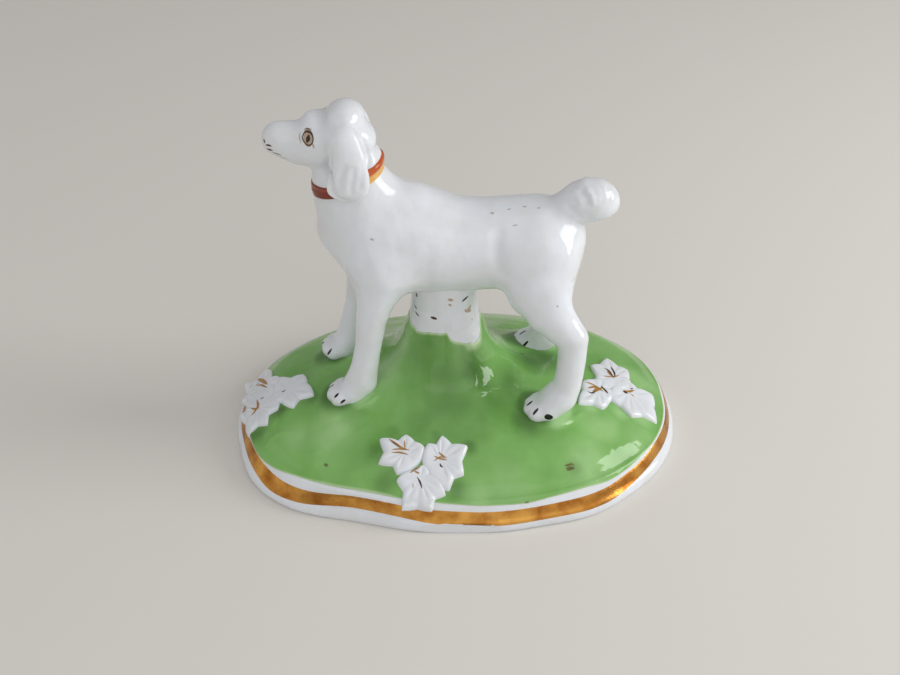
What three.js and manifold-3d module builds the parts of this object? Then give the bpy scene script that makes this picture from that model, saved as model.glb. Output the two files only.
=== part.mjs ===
import * as THREE from "three";
import { mergeVertices } from "three/addons/utils/BufferGeometryUtils.js";
import Module from "manifold-3d";

// A porcelain dog on an oval mound, taken apart into the pieces that were
// pressed in moulds and luted together with slip. Millimetres and degrees,
// +Z up. The dog looks along -X and its left side faces -Y.

const wasm = await Module();
wasm.setup();

// Gap that the slip fills at every luted joint.
const slipGap = 0.3;

// Oval base. The wall leans in from the foot, past the gilding, to the rim.
const baseLength = 104;
const baseDepth = 75.6;
const baseSquareness = 2.2;
const baseWall = 3.4;
const footHeight = 3.3;
const bandHeight = 2.7;
const rimHeight = 1.0;
const footInset = 0.9;
const footTuck = 0.3;
const bandInset = 2.1;
const rimInset = 3.2;
const moundRise = 9.5;
const moundFullness = 2.4;
const ventRadius = 2.5;

// Fired-on layers.
const bandThickness = 0.5;
const enamelThickness = 0.5;

// Stump under the belly, with the mound flaring up to its foot.
const stumpX = -2.4;
const flareRise = 12.3;
const flareSpread = 3.6;
const stumpFootRadius = 8.8;
const stumpTopRadius = 7.2;

// Barrel of the body. Heights start at the ground under the paws.
const barrelHeight = 34.8;
const chestReach = 29.8;
const chestWidth = 23;
const chestDepth = 25;
const chestRise = 3.2;
const breastRise = 2.6;
const loinWidth = 21;
const loinDepth = 21.4;
const rumpReach = 28.8;
const rumpWidth = 20.4;
const rumpDepth = 20.6;
const rumpRise = 0.8;
const shellThickness = 3.5;

// Neck and collar.
const neckRootSetIn = 12.8;
const neckRootRise = 5;
const neckRootDepth = 4;
const napeSetBack = 1.8;
const throatFullness = 0.9;
const neckLength = 14;
const neckLean = 23;
const neckWidth = 14.6;
const neckDepth = 15.4;
const neckBoreRadius = 2.8;
const collarWidth = 2.6;
const collarThickness = 0.6;

// Head, measured from the middle of the skull.
const skullForward = 1.4;
const skullRise = 8;
const skullWidth = 15.2;
const skullDepth = 15.6;
const skullReach = 6.8;
const napeRise = 1.2;
const muzzleReach = 16;
const muzzleWidth = 8.4;
const muzzleDepth = 9;
const noseRise = 0.6;
const jawDrop = 1.1;
const topknotWidth = 9.6;
const topknotLength = 8.4;
const topknotHeight = 6.8;
const topknotRise = 0.7;
const topknotSetBack = 1.4;

// Drooping ears.
const earLength = 15;
const earWidth = 9.2;
const earThickness = 3;
const earSetBack = 2;
const earSetHeight = 5.2;
const earRootSpread = 6.2;
const earTipSpread = 9.9;

// Forelegs, set in from the breast. The right one steps further forward.
const shoulderLeftSetIn = 14.2;
const shoulderRightSetIn = 11.4;
const shoulderDrop = 3;
const shoulderSpread = 8;
const foreSpread = 9;
const foreLeftStep = 8;
const foreRightStep = 9;
const foreLegWidth = 6.4;
const pasternLeftSetBack = 1.6;
const pasternRightSetBack = 4.2;
const ankleHeight = 3.6;

// Hind legs, set in from the rump. The left one stands a little further back.
const hipSetIn = 8.8;
const hipRise = 1;
const hipSpread = 7.5;
const hindSpread = 13.6;
const hindLeftStep = 1.4;
const hindRightStep = 0;
const thighDepth = 18;
const thighSpread = 2.2;
const stifleSpread = 4;
const stifleSetForward = 4.2;
const hockHeight = 22;
const hockSetBack = 4.4;
const hindLegWidth = 5.9;
const cannonLean = 1.6;

// Paws.
const pawLength = 10;
const pawWidth = 8.4;
const pawHeight = 5.4;
const toeCount = 3;
const toeSpread = 42;
const toeRadius = 2.1;

// Tail: a short stem with a round tuft.
const tailStemRadius = 4.2;
const tuftLength = 12.6;
const tuftThickness = 9.8;
const tuftRise = 10.4;
const tuftOverhang = 6.4;
const tailRootSetIn = 10;
const tailRootDrop = 5.2;
const tailArch = 0.7;

// Sprigs of three applied leaves. A sprig lies towards the front or an end of
// the base, set in from the rim there and shifted along it.
const leafReach = 5.4;
const lobeCount = 5;
const lobeNotch = 0.36;
const leafThickness = 1.3;
const leavesPerSprig = 3;
const sprigSpread = 4.7;
const sprigs = [
  { name: "front", toward: [0, -1], setIn: 7.3, shift: -6.8, turn: -94 },
  { name: "left", toward: [-1, 0], setIn: 6.1, shift: -2.4, turn: 3 },
  { name: "right", toward: [1, 0], setIn: 11.2, shift: -2.1, turn: -30 },
];

const porcelain = { color: 0xe9e4dc, roughness: 0.16, metalness: 0 };
const greenEnamel = { color: 0x2f8a1c, roughness: 0.12, metalness: 0 };
const gilding = { color: 0xb8862f, roughness: 0.3, metalness: 1 };
const ironRed = { color: 0xa8431c, roughness: 0.25, metalness: 0 };

const halfLength = baseLength / 2;
const halfDepth = baseDepth / 2;
const rimTop = footHeight + bandHeight + rimHeight;
const shoulderLeftX = shoulderLeftSetIn - chestReach;
const shoulderRightX = shoulderRightSetIn - chestReach;
const foreLeftX = shoulderLeftX - foreLeftStep;
const foreRightX = shoulderRightX - foreRightStep;
const hipX = rumpReach - hipSetIn;
const hindLeftX = hipX + hindLeftStep;
const hindRightX = hipX + hindRightStep;
const full = 2 * Math.PI;
const clearOfAll = 400;

// Solids

function signedVolume(points, faces) {
  const [a, b, c] = [new THREE.Vector3(), new THREE.Vector3(), new THREE.Vector3()];
  let sum = 0;
  for (let i = 0; i < faces.length; i += 3) {
    a.fromArray(points, 3 * faces[i]);
    b.fromArray(points, 3 * faces[i + 1]);
    c.fromArray(points, 3 * faces[i + 2]);
    sum += a.dot(b.cross(c));
  }
  return sum;
}

// A geometry with its seams welded, as a solid that faces outwards.
function solidOf(geometry) {
  geometry.deleteAttribute("normal");
  geometry.deleteAttribute("uv");
  const welded = mergeVertices(geometry, 1e-4);
  const points = welded.attributes.position.array;
  const index = welded.index.array;
  const faces = [];
  for (let i = 0; i < index.length; i += 3) {
    const [a, b, c] = index.slice(i, i + 3);
    if (a !== b && b !== c && c !== a) faces.push(a, b, c);
  }
  if (signedVolume(points, faces) < 0) faces.reverse();
  const mesh = new wasm.Mesh({
    numProp: 3,
    vertProperties: Float32Array.from(points),
    triVerts: Uint32Array.from(faces),
  });
  return new wasm.Manifold(mesh);
}

function meshOf(name, solid, finish) {
  const { vertProperties, triVerts } = solid.getMesh();
  const geometry = new THREE.BufferGeometry();
  geometry.setAttribute("position", new THREE.BufferAttribute(vertProperties, 3));
  geometry.setIndex(new THREE.BufferAttribute(triVerts, 1));
  geometry.computeVertexNormals();
  const mesh = new THREE.Mesh(geometry, new THREE.MeshStandardMaterial(finish));
  mesh.name = name;
  return mesh;
}

const union = (first, ...others) => others.reduce((sum, solid) => sum.add(solid), first);
const cut = (first, ...others) => others.reduce((rest, solid) => rest.subtract(solid), first);

// One ring of the spine: where it is and its half sizes across the spine.
function station(x, y, z, wide, deep) {
  return { at: new THREE.Vector3(x, y, z), girth: new THREE.Vector3(wide, deep, 0) };
}

// How much of its full girth a form has at t, so that both ends close round.
function endRounding(t, startCap, endCap) {
  const open = Math.min(t / startCap, (1 - t) / endCap, 1);
  return Math.sqrt(1 - (1 - open) ** 2);
}

// A rounded clay form: oval rings carried along a smooth spine.
function form(stations, { grow = 0, sides = 20, rings = 12, startCap = 0.2, endCap = 0.2 } = {}) {
  const spine = new THREE.CatmullRomCurve3(stations.map(({ at }) => at), false, "catmullrom");
  const girths = new THREE.CatmullRomCurve3(stations.map(({ girth }) => girth), false, "catmullrom");
  const geometry = new THREE.SphereGeometry(1, sides, rings);
  const position = geometry.attributes.position;
  for (let k = 0; k < position.count; k += 1) {
    const ring = Math.floor(k / (sides + 1));
    const turn = (full * (k % (sides + 1))) / sides;
    const t = 0.5 - 0.5 * Math.cos((Math.PI * ring) / rings);
    const along = spine.getTangent(t);
    const across = new THREE.Vector3().crossVectors(along, new THREE.Vector3(0, 1, 0)).normalize();
    const wide = new THREE.Vector3().crossVectors(across, along);
    const girth = girths.getPoint(t).multiplyScalar(endRounding(t, startCap, endCap));
    const isPole = ring === 0 || ring === rings;
    const point = spine.getPoint(t);
    if (isPole) {
      point.addScaledVector(along, ring === 0 ? -grow : grow);
    } else {
      point.addScaledVector(wide, (girth.x + grow) * Math.cos(turn));
      point.addScaledVector(across, (girth.y + grow) * Math.sin(turn));
    }
    position.setXYZ(k, point.x, point.y, point.z);
  }
  return solidOf(geometry);
}

function ellipsoid(x, y, z, radiusX, radiusY, radiusZ, grow = 0) {
  const geometry = new THREE.SphereGeometry(1, 12, 7);
  geometry.scale(radiusX + grow, radiusY + grow, radiusZ + grow);
  geometry.translate(x, y, z);
  return solidOf(geometry);
}

function cylinder(x, y, low, high, radius) {
  const geometry = new THREE.CylinderGeometry(radius, radius, high - low, 20);
  geometry.rotateX(Math.PI / 2);
  geometry.translate(x, y, (low + high) / 2);
  return solidOf(geometry);
}

// Base

function ovalPoint(turn, inset) {
  const power = 2 / baseSquareness;
  const cos = Math.cos(turn);
  const sin = Math.sin(turn);
  const x = (halfLength - inset) * Math.sign(cos) * Math.abs(cos) ** power;
  const y = (halfDepth - inset) * Math.sign(sin) * Math.abs(sin) ** power;
  return new THREE.Vector2(x, y);
}

// Height of the bare porcelain mound: a low dome, and a flare round the stump.
function groundHeight(x, y) {
  const across = Math.abs(x / (halfLength - rimInset)) ** baseSquareness;
  const back = Math.abs(y / (halfDepth - rimInset)) ** baseSquareness;
  const dome = moundRise * (1 - (across + back) ** (moundFullness / baseSquareness));
  const fromStump = Math.max(Math.hypot(x - stumpX, y) - stumpFootRadius, 0);
  return rimTop + dome + flareRise * Math.exp(-fromStump / flareSpread);
}

// The ground raised by an offset measured square to its slope.
function raisedGround(x, y, offset) {
  const step = 0.1;
  const slopeX = (groundHeight(x + step, y) - groundHeight(x - step, y)) / (2 * step);
  const slopeY = (groundHeight(x, y + step) - groundHeight(x, y - step)) / (2 * step);
  return groundHeight(x, y) + offset * Math.hypot(1, slopeX, slopeY);
}

const stumpSeat = groundHeight(stumpX, 0);
const groundAtPaws = groundHeight(foreLeftX, -foreSpread) + slipGap + enamelThickness;
const barrelZ = groundAtPaws + barrelHeight;

// Rings of the mound's top: circles on the flare, in shares of its spread, then
// ovals out to the rim.
const flareRings = [0, 0.28, 0.67, 1.22, 2.22];
const domeRings = [0.25, 0.5, 0.75, 1];

// A solid with the mound's top and a given wall, closed by a flat floor.
// The wall is a list of (inset, height) from the rim downwards.
function moundSolid(wall, { offset = 0, floor = 0, sides = 36 } = {}) {
  const rings = 1 + flareRings.length + domeRings.length + wall.length + 1;
  const profile = Array.from({ length: rings }, (_, ring) => {
    const onAxis = ring === 0 || ring === rings - 1;
    return new THREE.Vector2(onAxis ? 0 : 1, -ring);
  });
  const geometry = new THREE.LatheGeometry(profile, sides);
  const position = geometry.attributes.position;
  const lastFlare = stumpFootRadius + flareSpread * flareRings.at(-1);
  const rimEdge = wall[0][0];
  for (let k = 0; k < position.count; k += 1) {
    const ring = k % rings;
    const turn = (full * Math.floor(k / rings)) / sides;
    const circle = new THREE.Vector2(Math.cos(turn), Math.sin(turn));
    const edge = ovalPoint(turn, rimEdge);
    const onFlare = ring - 1;
    const onDome = onFlare - flareRings.length;
    const onWall = onDome - domeRings.length;
    const spot = new THREE.Vector2(stumpX, 0);
    let height = null;
    if (ring === 0) {
      height = stumpSeat + offset;
    } else if (ring === rings - 1) {
      height = floor;
    } else if (onDome < 0) {
      const radius = stumpFootRadius + flareSpread * flareRings[onFlare];
      spot.addScaledVector(circle, radius);
    } else if (onWall < 0) {
      spot.addScaledVector(circle, lastFlare).lerp(edge, domeRings[onDome]);
    } else {
      const [inset, level] = wall[onWall];
      spot.copy(ovalPoint(turn, inset));
      height = level;
    }
    if (height === null) height = raisedGround(spot.x, spot.y, offset);
    position.setXYZ(k, spot.x, spot.y, height);
  }
  return solidOf(geometry);
}

const bandLow = footHeight;
const bandHigh = footHeight + bandHeight;

// The outer wall, swollen by an offset, from the rim down to the table.
function outerWall(offset, floor) {
  return [
    [rimInset - offset, rimTop + offset],
    [(rimInset + bandInset) / 2 - offset, (rimTop + bandHigh) / 2 + 0.3 * rimHeight + offset],
    [bandInset - offset, bandHigh],
    [footInset - offset, bandLow],
    [-offset, 0.4 * footHeight],
    [footTuck - offset, floor],
  ];
}

function slab(low, high) {
  const geometry = new THREE.BoxGeometry(clearOfAll, clearOfAll, high - low);
  geometry.translate(0, 0, (low + high) / 2);
  return solidOf(geometry);
}

const mound = moundSolid(outerWall(0, 0));
const moundGrown = moundSolid(outerWall(slipGap, -slipGap), { offset: slipGap, floor: -slipGap });

const hollow = moundSolid(
  [
    [rimInset + baseWall, rimTop - baseWall],
    [baseWall, 0],
    [baseWall, -baseWall],
  ],
  { offset: -baseWall, floor: -baseWall, sides: 24 },
);

// One vent runs from the hollow base through the stump into the hollow body.
const vent = cylinder(stumpX, 0, -baseWall, barrelZ, ventRadius);

// The gilding lies in a shallow groove so that its face is flush with the wall.
function wallRing(inset, outset, clearance) {
  const inner = moundSolid(outerWall(-inset, -baseWall), { floor: -baseWall });
  const outer = moundSolid(outerWall(outset, -baseWall), { offset: outset, floor: -baseWall });
  return outer.subtract(inner).intersect(slab(bandLow - clearance, bandHigh + clearance));
}

const bandGroove = wallRing(bandThickness + slipGap, baseWall, slipGap);
const band = wallRing(bandThickness, 0, 0);
const baseShell = cut(mound, hollow, vent, bandGroove);

// Body

// The barrel of the body, or with a wall thickness the hollow inside it.
function barrel(grow, wall = 0) {
  const chest = [chestWidth / 2 - wall, chestDepth / 2 - wall];
  const loin = [loinWidth / 2 - wall, loinDepth / 2 - wall];
  const rump = [rumpWidth / 2 - wall, rumpDepth / 2 - wall];
  const front = chestReach - wall;
  const back = rumpReach - wall;
  const chestZ = barrelZ + chestRise;
  const stations = [
    station(-front, 0, chestZ + breastRise, chest[0] * 0.7, chest[1] * 0.74),
    station(-front * 0.7, 0, chestZ + breastRise * 0.5, chest[0] * 0.94, chest[1] * 0.96),
    station(-front * 0.4, 0, chestZ - breastRise * 0.4, ...chest),
    station(0, 0, barrelZ, ...loin),
    station(back * 0.36, 0, barrelZ + rumpRise * 0.6, loin[0] * 0.97, loin[1] * 0.94),
    station(back * 0.7, 0, barrelZ + rumpRise, ...rump),
    station(back, 0, barrelZ - rumpRise * 0.5, rump[0] * 0.8, rump[1] * 0.8),
  ];
  return form(stations, { grow, sides: 20, rings: 14, startCap: 0.2, endCap: 0.17 });
}

const neckAxis = new THREE.Vector3(
  -Math.sin(THREE.MathUtils.degToRad(neckLean)),
  0,
  Math.cos(THREE.MathUtils.degToRad(neckLean)),
);
const neckRoot = new THREE.Vector3(neckRootSetIn - chestReach, 0, barrelZ + neckRootRise);
const collarMiddle = neckRoot.clone().addScaledVector(neckAxis, neckLength);
const skull = collarMiddle.clone().add(new THREE.Vector3(-skullForward, 0, skullRise));

function neck(grow) {
  const lowNeck = neckRoot.clone().lerp(collarMiddle, 0.5);
  const stations = [
    station(neckRoot.x, 0, neckRoot.z - neckRootDepth, neckWidth * 0.62, neckDepth * 0.74),
    station(lowNeck.x - throatFullness, 0, lowNeck.z, neckWidth * 0.56, neckDepth * 0.62),
    station(collarMiddle.x, 0, collarMiddle.z, neckWidth / 2, neckDepth / 2),
    station(skull.x + napeSetBack, 0, skull.z, neckWidth * 0.45, neckDepth * 0.42),
  ];
  return form(stations, { grow, sides: 20, rings: 9, startCap: 0.2, endCap: 0.25 });
}

// A box covering everything on one side of the collar's middle plane.
function pastCollar(direction, clearance) {
  const geometry = new THREE.BoxGeometry(clearOfAll, clearOfAll, clearOfAll);
  geometry.translate(0, 0, direction * (clearOfAll / 2 + clearance));
  geometry.rotateY(THREE.MathUtils.degToRad(-neckLean));
  geometry.translate(...collarMiddle);
  return solidOf(geometry);
}

function collarSlab(halfWidth) {
  return cut(slab(-clearOfAll / 4, clearOfAll / 2), pastCollar(1, halfWidth), pastCollar(-1, halfWidth));
}

function neckBore() {
  const geometry = new THREE.CylinderGeometry(neckBoreRadius, neckBoreRadius, 2 * neckLength, 16);
  geometry.rotateX(Math.PI / 2);
  geometry.rotateY(THREE.MathUtils.degToRad(-neckLean));
  geometry.translate(...collarMiddle.clone().addScaledVector(neckAxis, -neckLength / 2));
  return solidOf(geometry);
}

// Everything on the left or the right of the body's mid-plane.
function sideBox(side) {
  const geometry = new THREE.BoxGeometry(clearOfAll, clearOfAll, clearOfAll);
  geometry.translate(0, (side * (clearOfAll - slipGap)) / 2, 0);
  return solidOf(geometry);
}

const body = union(barrel(0), neck(0));
const bodyGrown = cut(union(barrel(slipGap), neck(slipGap)), pastCollar(1, slipGap / 2));
const torso = cut(body, pastCollar(1, -slipGap / 2), barrel(0, shellThickness), neckBore(), vent);

const collarInside = neck(slipGap);
const collar = cut(neck(slipGap + collarThickness).intersect(collarSlab(collarWidth / 2)), collarInside);
const collarGrown = neck(2 * slipGap + collarThickness).intersect(collarSlab(collarWidth / 2 + slipGap));

// Head

function headForm(grow) {
  const half = [skullWidth / 2, skullDepth / 2];
  const snout = [muzzleWidth / 2, muzzleDepth / 2];
  const stations = [
    station(skull.x - muzzleReach, 0, skull.z + noseRise, snout[0] * 0.75, snout[1] * 0.72),
    station(skull.x - muzzleReach * 0.72, 0, skull.z - jawDrop * 0.3, snout[0] * 0.9, snout[1] * 0.88),
    station(skull.x - muzzleReach * 0.48, 0, skull.z - jawDrop, snout[0] * 1.14, snout[1] * 1.14),
    station(skull.x - muzzleReach * 0.24, 0, skull.z - jawDrop * 0.5, half[0] * 0.86, half[1] * 0.84),
    station(skull.x, 0, skull.z, ...half),
    station(skull.x + skullReach, 0, skull.z + napeRise, half[0] * 0.8, half[1] * 0.72),
  ];
  const topknot = ellipsoid(
    skull.x + topknotSetBack,
    0,
    skull.z + skullDepth / 2 + topknotRise - topknotHeight / 2,
    topknotLength / 2,
    topknotWidth / 2,
    topknotHeight / 2,
    grow,
  );
  return union(form(stations, { grow, sides: 20, rings: 15, startCap: 0.14, endCap: 0.2 }), topknot);
}

const head = cut(union(neck(0), headForm(0)), pastCollar(-1, -slipGap / 2), neckBore());
const headGrown = union(neck(slipGap), headForm(slipGap));

function ear(side) {
  const x = skull.x + earSetBack;
  const topZ = skull.z + earSetHeight;
  const spread = (t) => side * THREE.MathUtils.lerp(earRootSpread, earTipSpread, t);
  const stations = [
    station(x, spread(0), topZ, earThickness * 0.5, earWidth * 0.26),
    station(x, spread(0.65), topZ - earLength * 0.4, earThickness * 0.55, earWidth * 0.4),
    station(x, spread(0.92), topZ - earLength * 0.75, earThickness * 0.5, earWidth * 0.5),
    station(x, spread(1), topZ - earLength, earThickness * 0.42, earWidth * 0.4),
  ];
  const flap = form(stations, { sides: 14, rings: 10, startCap: 0.2, endCap: 0.24 });
  return cut(flap, headGrown, collarGrown, bodyGrown);
}

// Legs

function paw(x, y) {
  const ground = groundHeight(x, y);
  const padZ = ground + pawHeight * 0.36;
  const pad = ellipsoid(x, y, padZ, pawLength / 2, pawWidth / 2, pawHeight * 0.64);
  const toes = Array.from({ length: toeCount }, (_, i) => {
    const turn = THREE.MathUtils.degToRad(180 + toeSpread * (i - (toeCount - 1) / 2));
    const toeX = x + Math.cos(turn) * (pawLength / 2 - toeRadius * 0.6);
    const toeY = y + Math.sin(turn) * (pawWidth / 2 - toeRadius * 0.45);
    const toeZ = groundHeight(toeX, toeY) + toeRadius * 0.9;
    return ellipsoid(toeX, toeY, toeZ, toeRadius * 1.1, toeRadius * 0.85, toeRadius);
  });
  return union(pad, ...toes);
}

function foreleg(side, shoulderX, pawX, pasternSetBack) {
  const half = foreLegWidth / 2;
  const shoulder = new THREE.Vector3(shoulderX, side * shoulderSpread, barrelZ - shoulderDrop);
  const ground = groundHeight(pawX, side * foreSpread);
  const ankle = new THREE.Vector3(pawX + pasternSetBack, side * foreSpread, ground + ankleHeight);
  const point = (t) => shoulder.clone().lerp(ankle, t);
  const stations = [
    station(...shoulder, half * 1.5, half * 2),
    station(...point(0.25), half * 1.3, half * 1.42),
    station(...point(0.55), half, half * 1.02),
    station(...point(0.8), half * 0.94, half * 0.98),
    station(...ankle, half * 1.1, half * 1.15),
  ];
  const limb = form(stations, { sides: 14, rings: 10, startCap: 0.2, endCap: 0.12 });
  return union(limb, paw(pawX, side * foreSpread));
}

function hindleg(side, pawX) {
  const half = hindLegWidth / 2;
  const thigh = thighDepth / 2;
  const ground = groundHeight(pawX, side * hindSpread);
  const hipZ = barrelZ + hipRise;
  const hockX = pawX + hockSetBack;
  const hockZ = ground + hockHeight;
  const height = (t) => THREE.MathUtils.lerp(hipZ, hockZ, t);
  const ring = (x, spread, z, wide, deep) => station(x, side * spread, z, wide, deep);
  const stifleX = hockX - stifleSetForward;
  const cannonX = hockX - 0.1 * hockSetBack;
  const pasternX = hockX - 0.3 * hockSetBack;
  const stations = [
    ring(hipX, hipSpread, hipZ, thigh * 0.56, thigh * 0.9),
    ring(hipX, hipSpread + thighSpread, height(0.42), thigh * 0.54, thigh * 0.8),
    ring(stifleX, hipSpread + stifleSpread, height(0.76), half * 1.5, half * 1.75),
    ring(hockX, hindSpread - cannonLean, hockZ, half * 1.1, half * 1.2),
    ring(cannonX, hindSpread - 0.6 * cannonLean, hockZ - hockHeight * 0.35, half * 0.96, half),
    ring(pasternX, hindSpread - 0.2 * cannonLean, ground + hockHeight * 0.35, half, half * 1.05),
    ring(pawX + 0.3 * hockSetBack, hindSpread, ground + ankleHeight, half * 1.15, half * 1.25),
  ];
  const limb = form(stations, { sides: 14, rings: 14, startCap: 0.16, endCap: 0.1 });
  return union(limb, paw(pawX, side * hindSpread));
}

const legs = [
  { name: "foreleg_left", solid: foreleg(-1, shoulderLeftX, foreLeftX, pasternLeftSetBack) },
  { name: "foreleg_right", solid: foreleg(1, shoulderRightX, foreRightX, pasternRightSetBack) },
  { name: "hindleg_left", solid: hindleg(-1, hindLeftX) },
  { name: "hindleg_right", solid: hindleg(1, hindRightX) },
];
const paws = [
  { x: foreLeftX, y: -foreSpread },
  { x: foreRightX, y: foreSpread },
  { x: hindLeftX, y: -hindSpread },
  { x: hindRightX, y: hindSpread },
];

// The bare patch of mound that a paw stands on, clear of its toes.
function pawOpening({ x, y }) {
  const geometry = new THREE.CylinderGeometry(1, 1, clearOfAll, 24);
  geometry.rotateX(Math.PI / 2);
  geometry.scale(pawLength / 2 + toeRadius * 0.55 + slipGap, pawWidth / 2 + toeRadius * 0.45 + slipGap, 1);
  geometry.translate(x, y, 0);
  return solidOf(geometry);
}

// Tail

function tail() {
  const tuftZ = barrelZ + tuftRise;
  const rootX = rumpReach - tailRootSetIn;
  const tipX = rumpReach + tuftOverhang;
  const tuftRadius = tuftThickness / 2;
  const stations = [
    station(rootX, 0, tuftZ - tailRootDrop, tailStemRadius, tailStemRadius),
    station(rootX + tailRootDrop, 0, tuftZ - tailRootDrop * 0.35, tailStemRadius, tailStemRadius),
    station(tipX - tuftLength / 2, 0, tuftZ + tailArch, tuftRadius, tuftRadius),
    station(tipX, 0, tuftZ - tailArch, tuftRadius * 0.84, tuftRadius * 0.84),
  ];
  return cut(form(stations, { sides: 18, rings: 12, startCap: 0.12, endCap: 0.26 }), bodyGrown);
}

// Stump

function stump() {
  const top = barrelZ - loinDepth / 4;
  const low = stumpSeat + slipGap;
  const profile = new THREE.CatmullRomCurve3([
    new THREE.Vector3(stumpFootRadius, low, 0),
    new THREE.Vector3(stumpTopRadius * 1.06, low + (top - low) * 0.24, 0),
    new THREE.Vector3(stumpTopRadius, low + (top - low) * 0.55, 0),
    new THREE.Vector3(stumpTopRadius * 1.04, top, 0),
  ]);
  const side = profile.getPoints(7).map(({ x, y }) => new THREE.Vector2(x, y));
  const outline = [new THREE.Vector2(0, low), ...side, new THREE.Vector2(0, top)];
  const geometry = new THREE.LatheGeometry(outline, 24);
  geometry.rotateX(Math.PI / 2);
  geometry.translate(stumpX, 0, 0);
  return solidOf(geometry);
}

// Leaves

// A leaf lying on the mound, from one height above the porcelain to another.
function leaf({ x, y, turn }, low, high, grow) {
  const points = 6 * lobeCount;
  const outline = Array.from({ length: points }, (_, i) => {
    const angle = (full * i) / points;
    const dip = Math.abs(Math.sin((lobeCount / 2) * angle)) ** 1.7;
    const radius = leafReach * (1 - lobeNotch * dip) + grow;
    return new THREE.Vector2(radius * Math.cos(angle), radius * Math.sin(angle));
  });
  const geometry = new THREE.ExtrudeGeometry(new THREE.Shape(outline), {
    depth: high - low,
    bevelEnabled: false,
  });
  geometry.translate(0, 0, low);
  geometry.rotateZ(turn);
  geometry.translate(x, y, 0);
  const position = geometry.attributes.position;
  for (let k = 0; k < position.count; k += 1) {
    const ground = groundHeight(position.getX(k), position.getY(k));
    position.setZ(k, ground + position.getZ(k));
  }
  return solidOf(geometry);
}

const leafOpening = (place) => leaf(place, -baseWall, clearOfAll, slipGap);

function sprigMiddle({ toward, setIn, shift }) {
  const [alongX, alongY] = toward;
  const x = alongX * (halfLength - rimInset - setIn) + Math.abs(alongY) * shift;
  const y = alongY * (halfDepth - rimInset - setIn) + Math.abs(alongX) * shift;
  return new THREE.Vector2(x, y);
}

// The bare patch of mound that the stems of a sprig are stuck to.
function sprigOpening(sprig) {
  const middle = sprigMiddle(sprig);
  return cylinder(middle.x, middle.y, 0, clearOfAll, sprigSpread + leafReach * 0.4);
}

const leaves = sprigs.flatMap((sprig) => {
  const middle = sprigMiddle(sprig);
  return Array.from({ length: leavesPerSprig }, (_, i) => {
    const turn = THREE.MathUtils.degToRad(sprig.turn) + (full * i) / leavesPerSprig;
    const x = middle.x + sprigSpread * Math.cos(turn);
    const y = middle.y + sprigSpread * Math.sin(turn);
    return { name: `leaf_${sprig.name}_${i + 1}`, sprig, x, y, turn };
  });
});

// Each leaf gives way to the ones that were stuck down before it.
function leafSolid(place) {
  const whole = leaf(place, slipGap, slipGap + leafThickness, 0);
  const sameSprig = leaves.filter(({ sprig }) => sprig === place.sprig);
  const earlier = sameSprig.slice(0, sameSprig.indexOf(place));
  return cut(whole, ...earlier.map(leafOpening));
}

// Enamel on the mound, left open round everything that stands on it.

const sheetTop = moundSolid(
  [
    [rimInset, rimTop],
    [rimInset, 0],
  ],
  { offset: slipGap + enamelThickness },
);
const openings = [
  cylinder(stumpX, 0, 0, clearOfAll, stumpFootRadius + slipGap),
  ...paws.map(pawOpening),
  ...leaves.map(leafOpening),
  ...sprigs.map(sprigOpening),
];
const enamel = cut(sheetTop, moundGrown, ...openings);

const figurine = new THREE.Group();
figurine.name = "porcelain_dog";
figurine.add(
  meshOf("base_shell", baseShell, porcelain),
  meshOf("green_ground", enamel, greenEnamel),
  meshOf("gilt_band", band, gilding),
  meshOf("stump", cut(stump(), bodyGrown, vent), porcelain),
  meshOf("torso_left_shell", cut(torso, sideBox(1)), porcelain),
  meshOf("torso_right_shell", cut(torso, sideBox(-1)), porcelain),
  meshOf("head", head, porcelain),
  meshOf("ear_left", ear(-1), porcelain),
  meshOf("ear_right", ear(1), porcelain),
  meshOf("collar", collar, ironRed),
  ...legs.map(({ name, solid }) => meshOf(name, cut(solid, bodyGrown, moundGrown), porcelain)),
  meshOf("tail", tail(), porcelain),
  ...leaves.map((place) => meshOf(place.name, leafSolid(place), porcelain)),
);

export default figurine;
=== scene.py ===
"""Looks of a glazed porcelain dog on an oval mound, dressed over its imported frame.

Lengths inside the file are millimetres and angles are degrees; meshes are written in metres.
The dog looks along -X, its left side faces -Y and +Z is up.
"""

import logging
import math
from dataclasses import dataclass, field
from enum import Enum
from itertools import product

import bmesh
import bpy
import numpy as np
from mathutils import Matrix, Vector, noise
from mathutils.bvhtree import BVHTree


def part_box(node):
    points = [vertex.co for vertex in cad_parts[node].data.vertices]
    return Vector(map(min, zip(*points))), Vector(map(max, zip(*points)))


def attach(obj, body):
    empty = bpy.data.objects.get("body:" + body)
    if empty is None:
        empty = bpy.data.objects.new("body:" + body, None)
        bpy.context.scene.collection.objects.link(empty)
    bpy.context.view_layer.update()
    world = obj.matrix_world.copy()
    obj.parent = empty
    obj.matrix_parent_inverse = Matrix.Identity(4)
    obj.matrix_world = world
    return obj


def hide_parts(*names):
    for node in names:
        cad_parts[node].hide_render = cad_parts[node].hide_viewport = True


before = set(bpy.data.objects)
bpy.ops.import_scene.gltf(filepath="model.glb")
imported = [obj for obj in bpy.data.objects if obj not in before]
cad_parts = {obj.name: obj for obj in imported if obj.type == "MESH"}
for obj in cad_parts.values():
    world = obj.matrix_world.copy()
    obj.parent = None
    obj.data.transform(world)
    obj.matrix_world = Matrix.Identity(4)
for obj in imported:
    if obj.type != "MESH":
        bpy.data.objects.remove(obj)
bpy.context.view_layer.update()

log = logging.getLogger("porcelain_dog")

MM = 0.001
FULL_TURN = 2 * math.pi
BODY = "root"

TRUNK_NODES = ("torso_left_shell", "torso_right_shell", "head")
LEG_NODES = ("foreleg_left", "foreleg_right", "hindleg_left", "hindleg_right")
EAR_NODES = ("ear_left", "ear_right")

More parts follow.
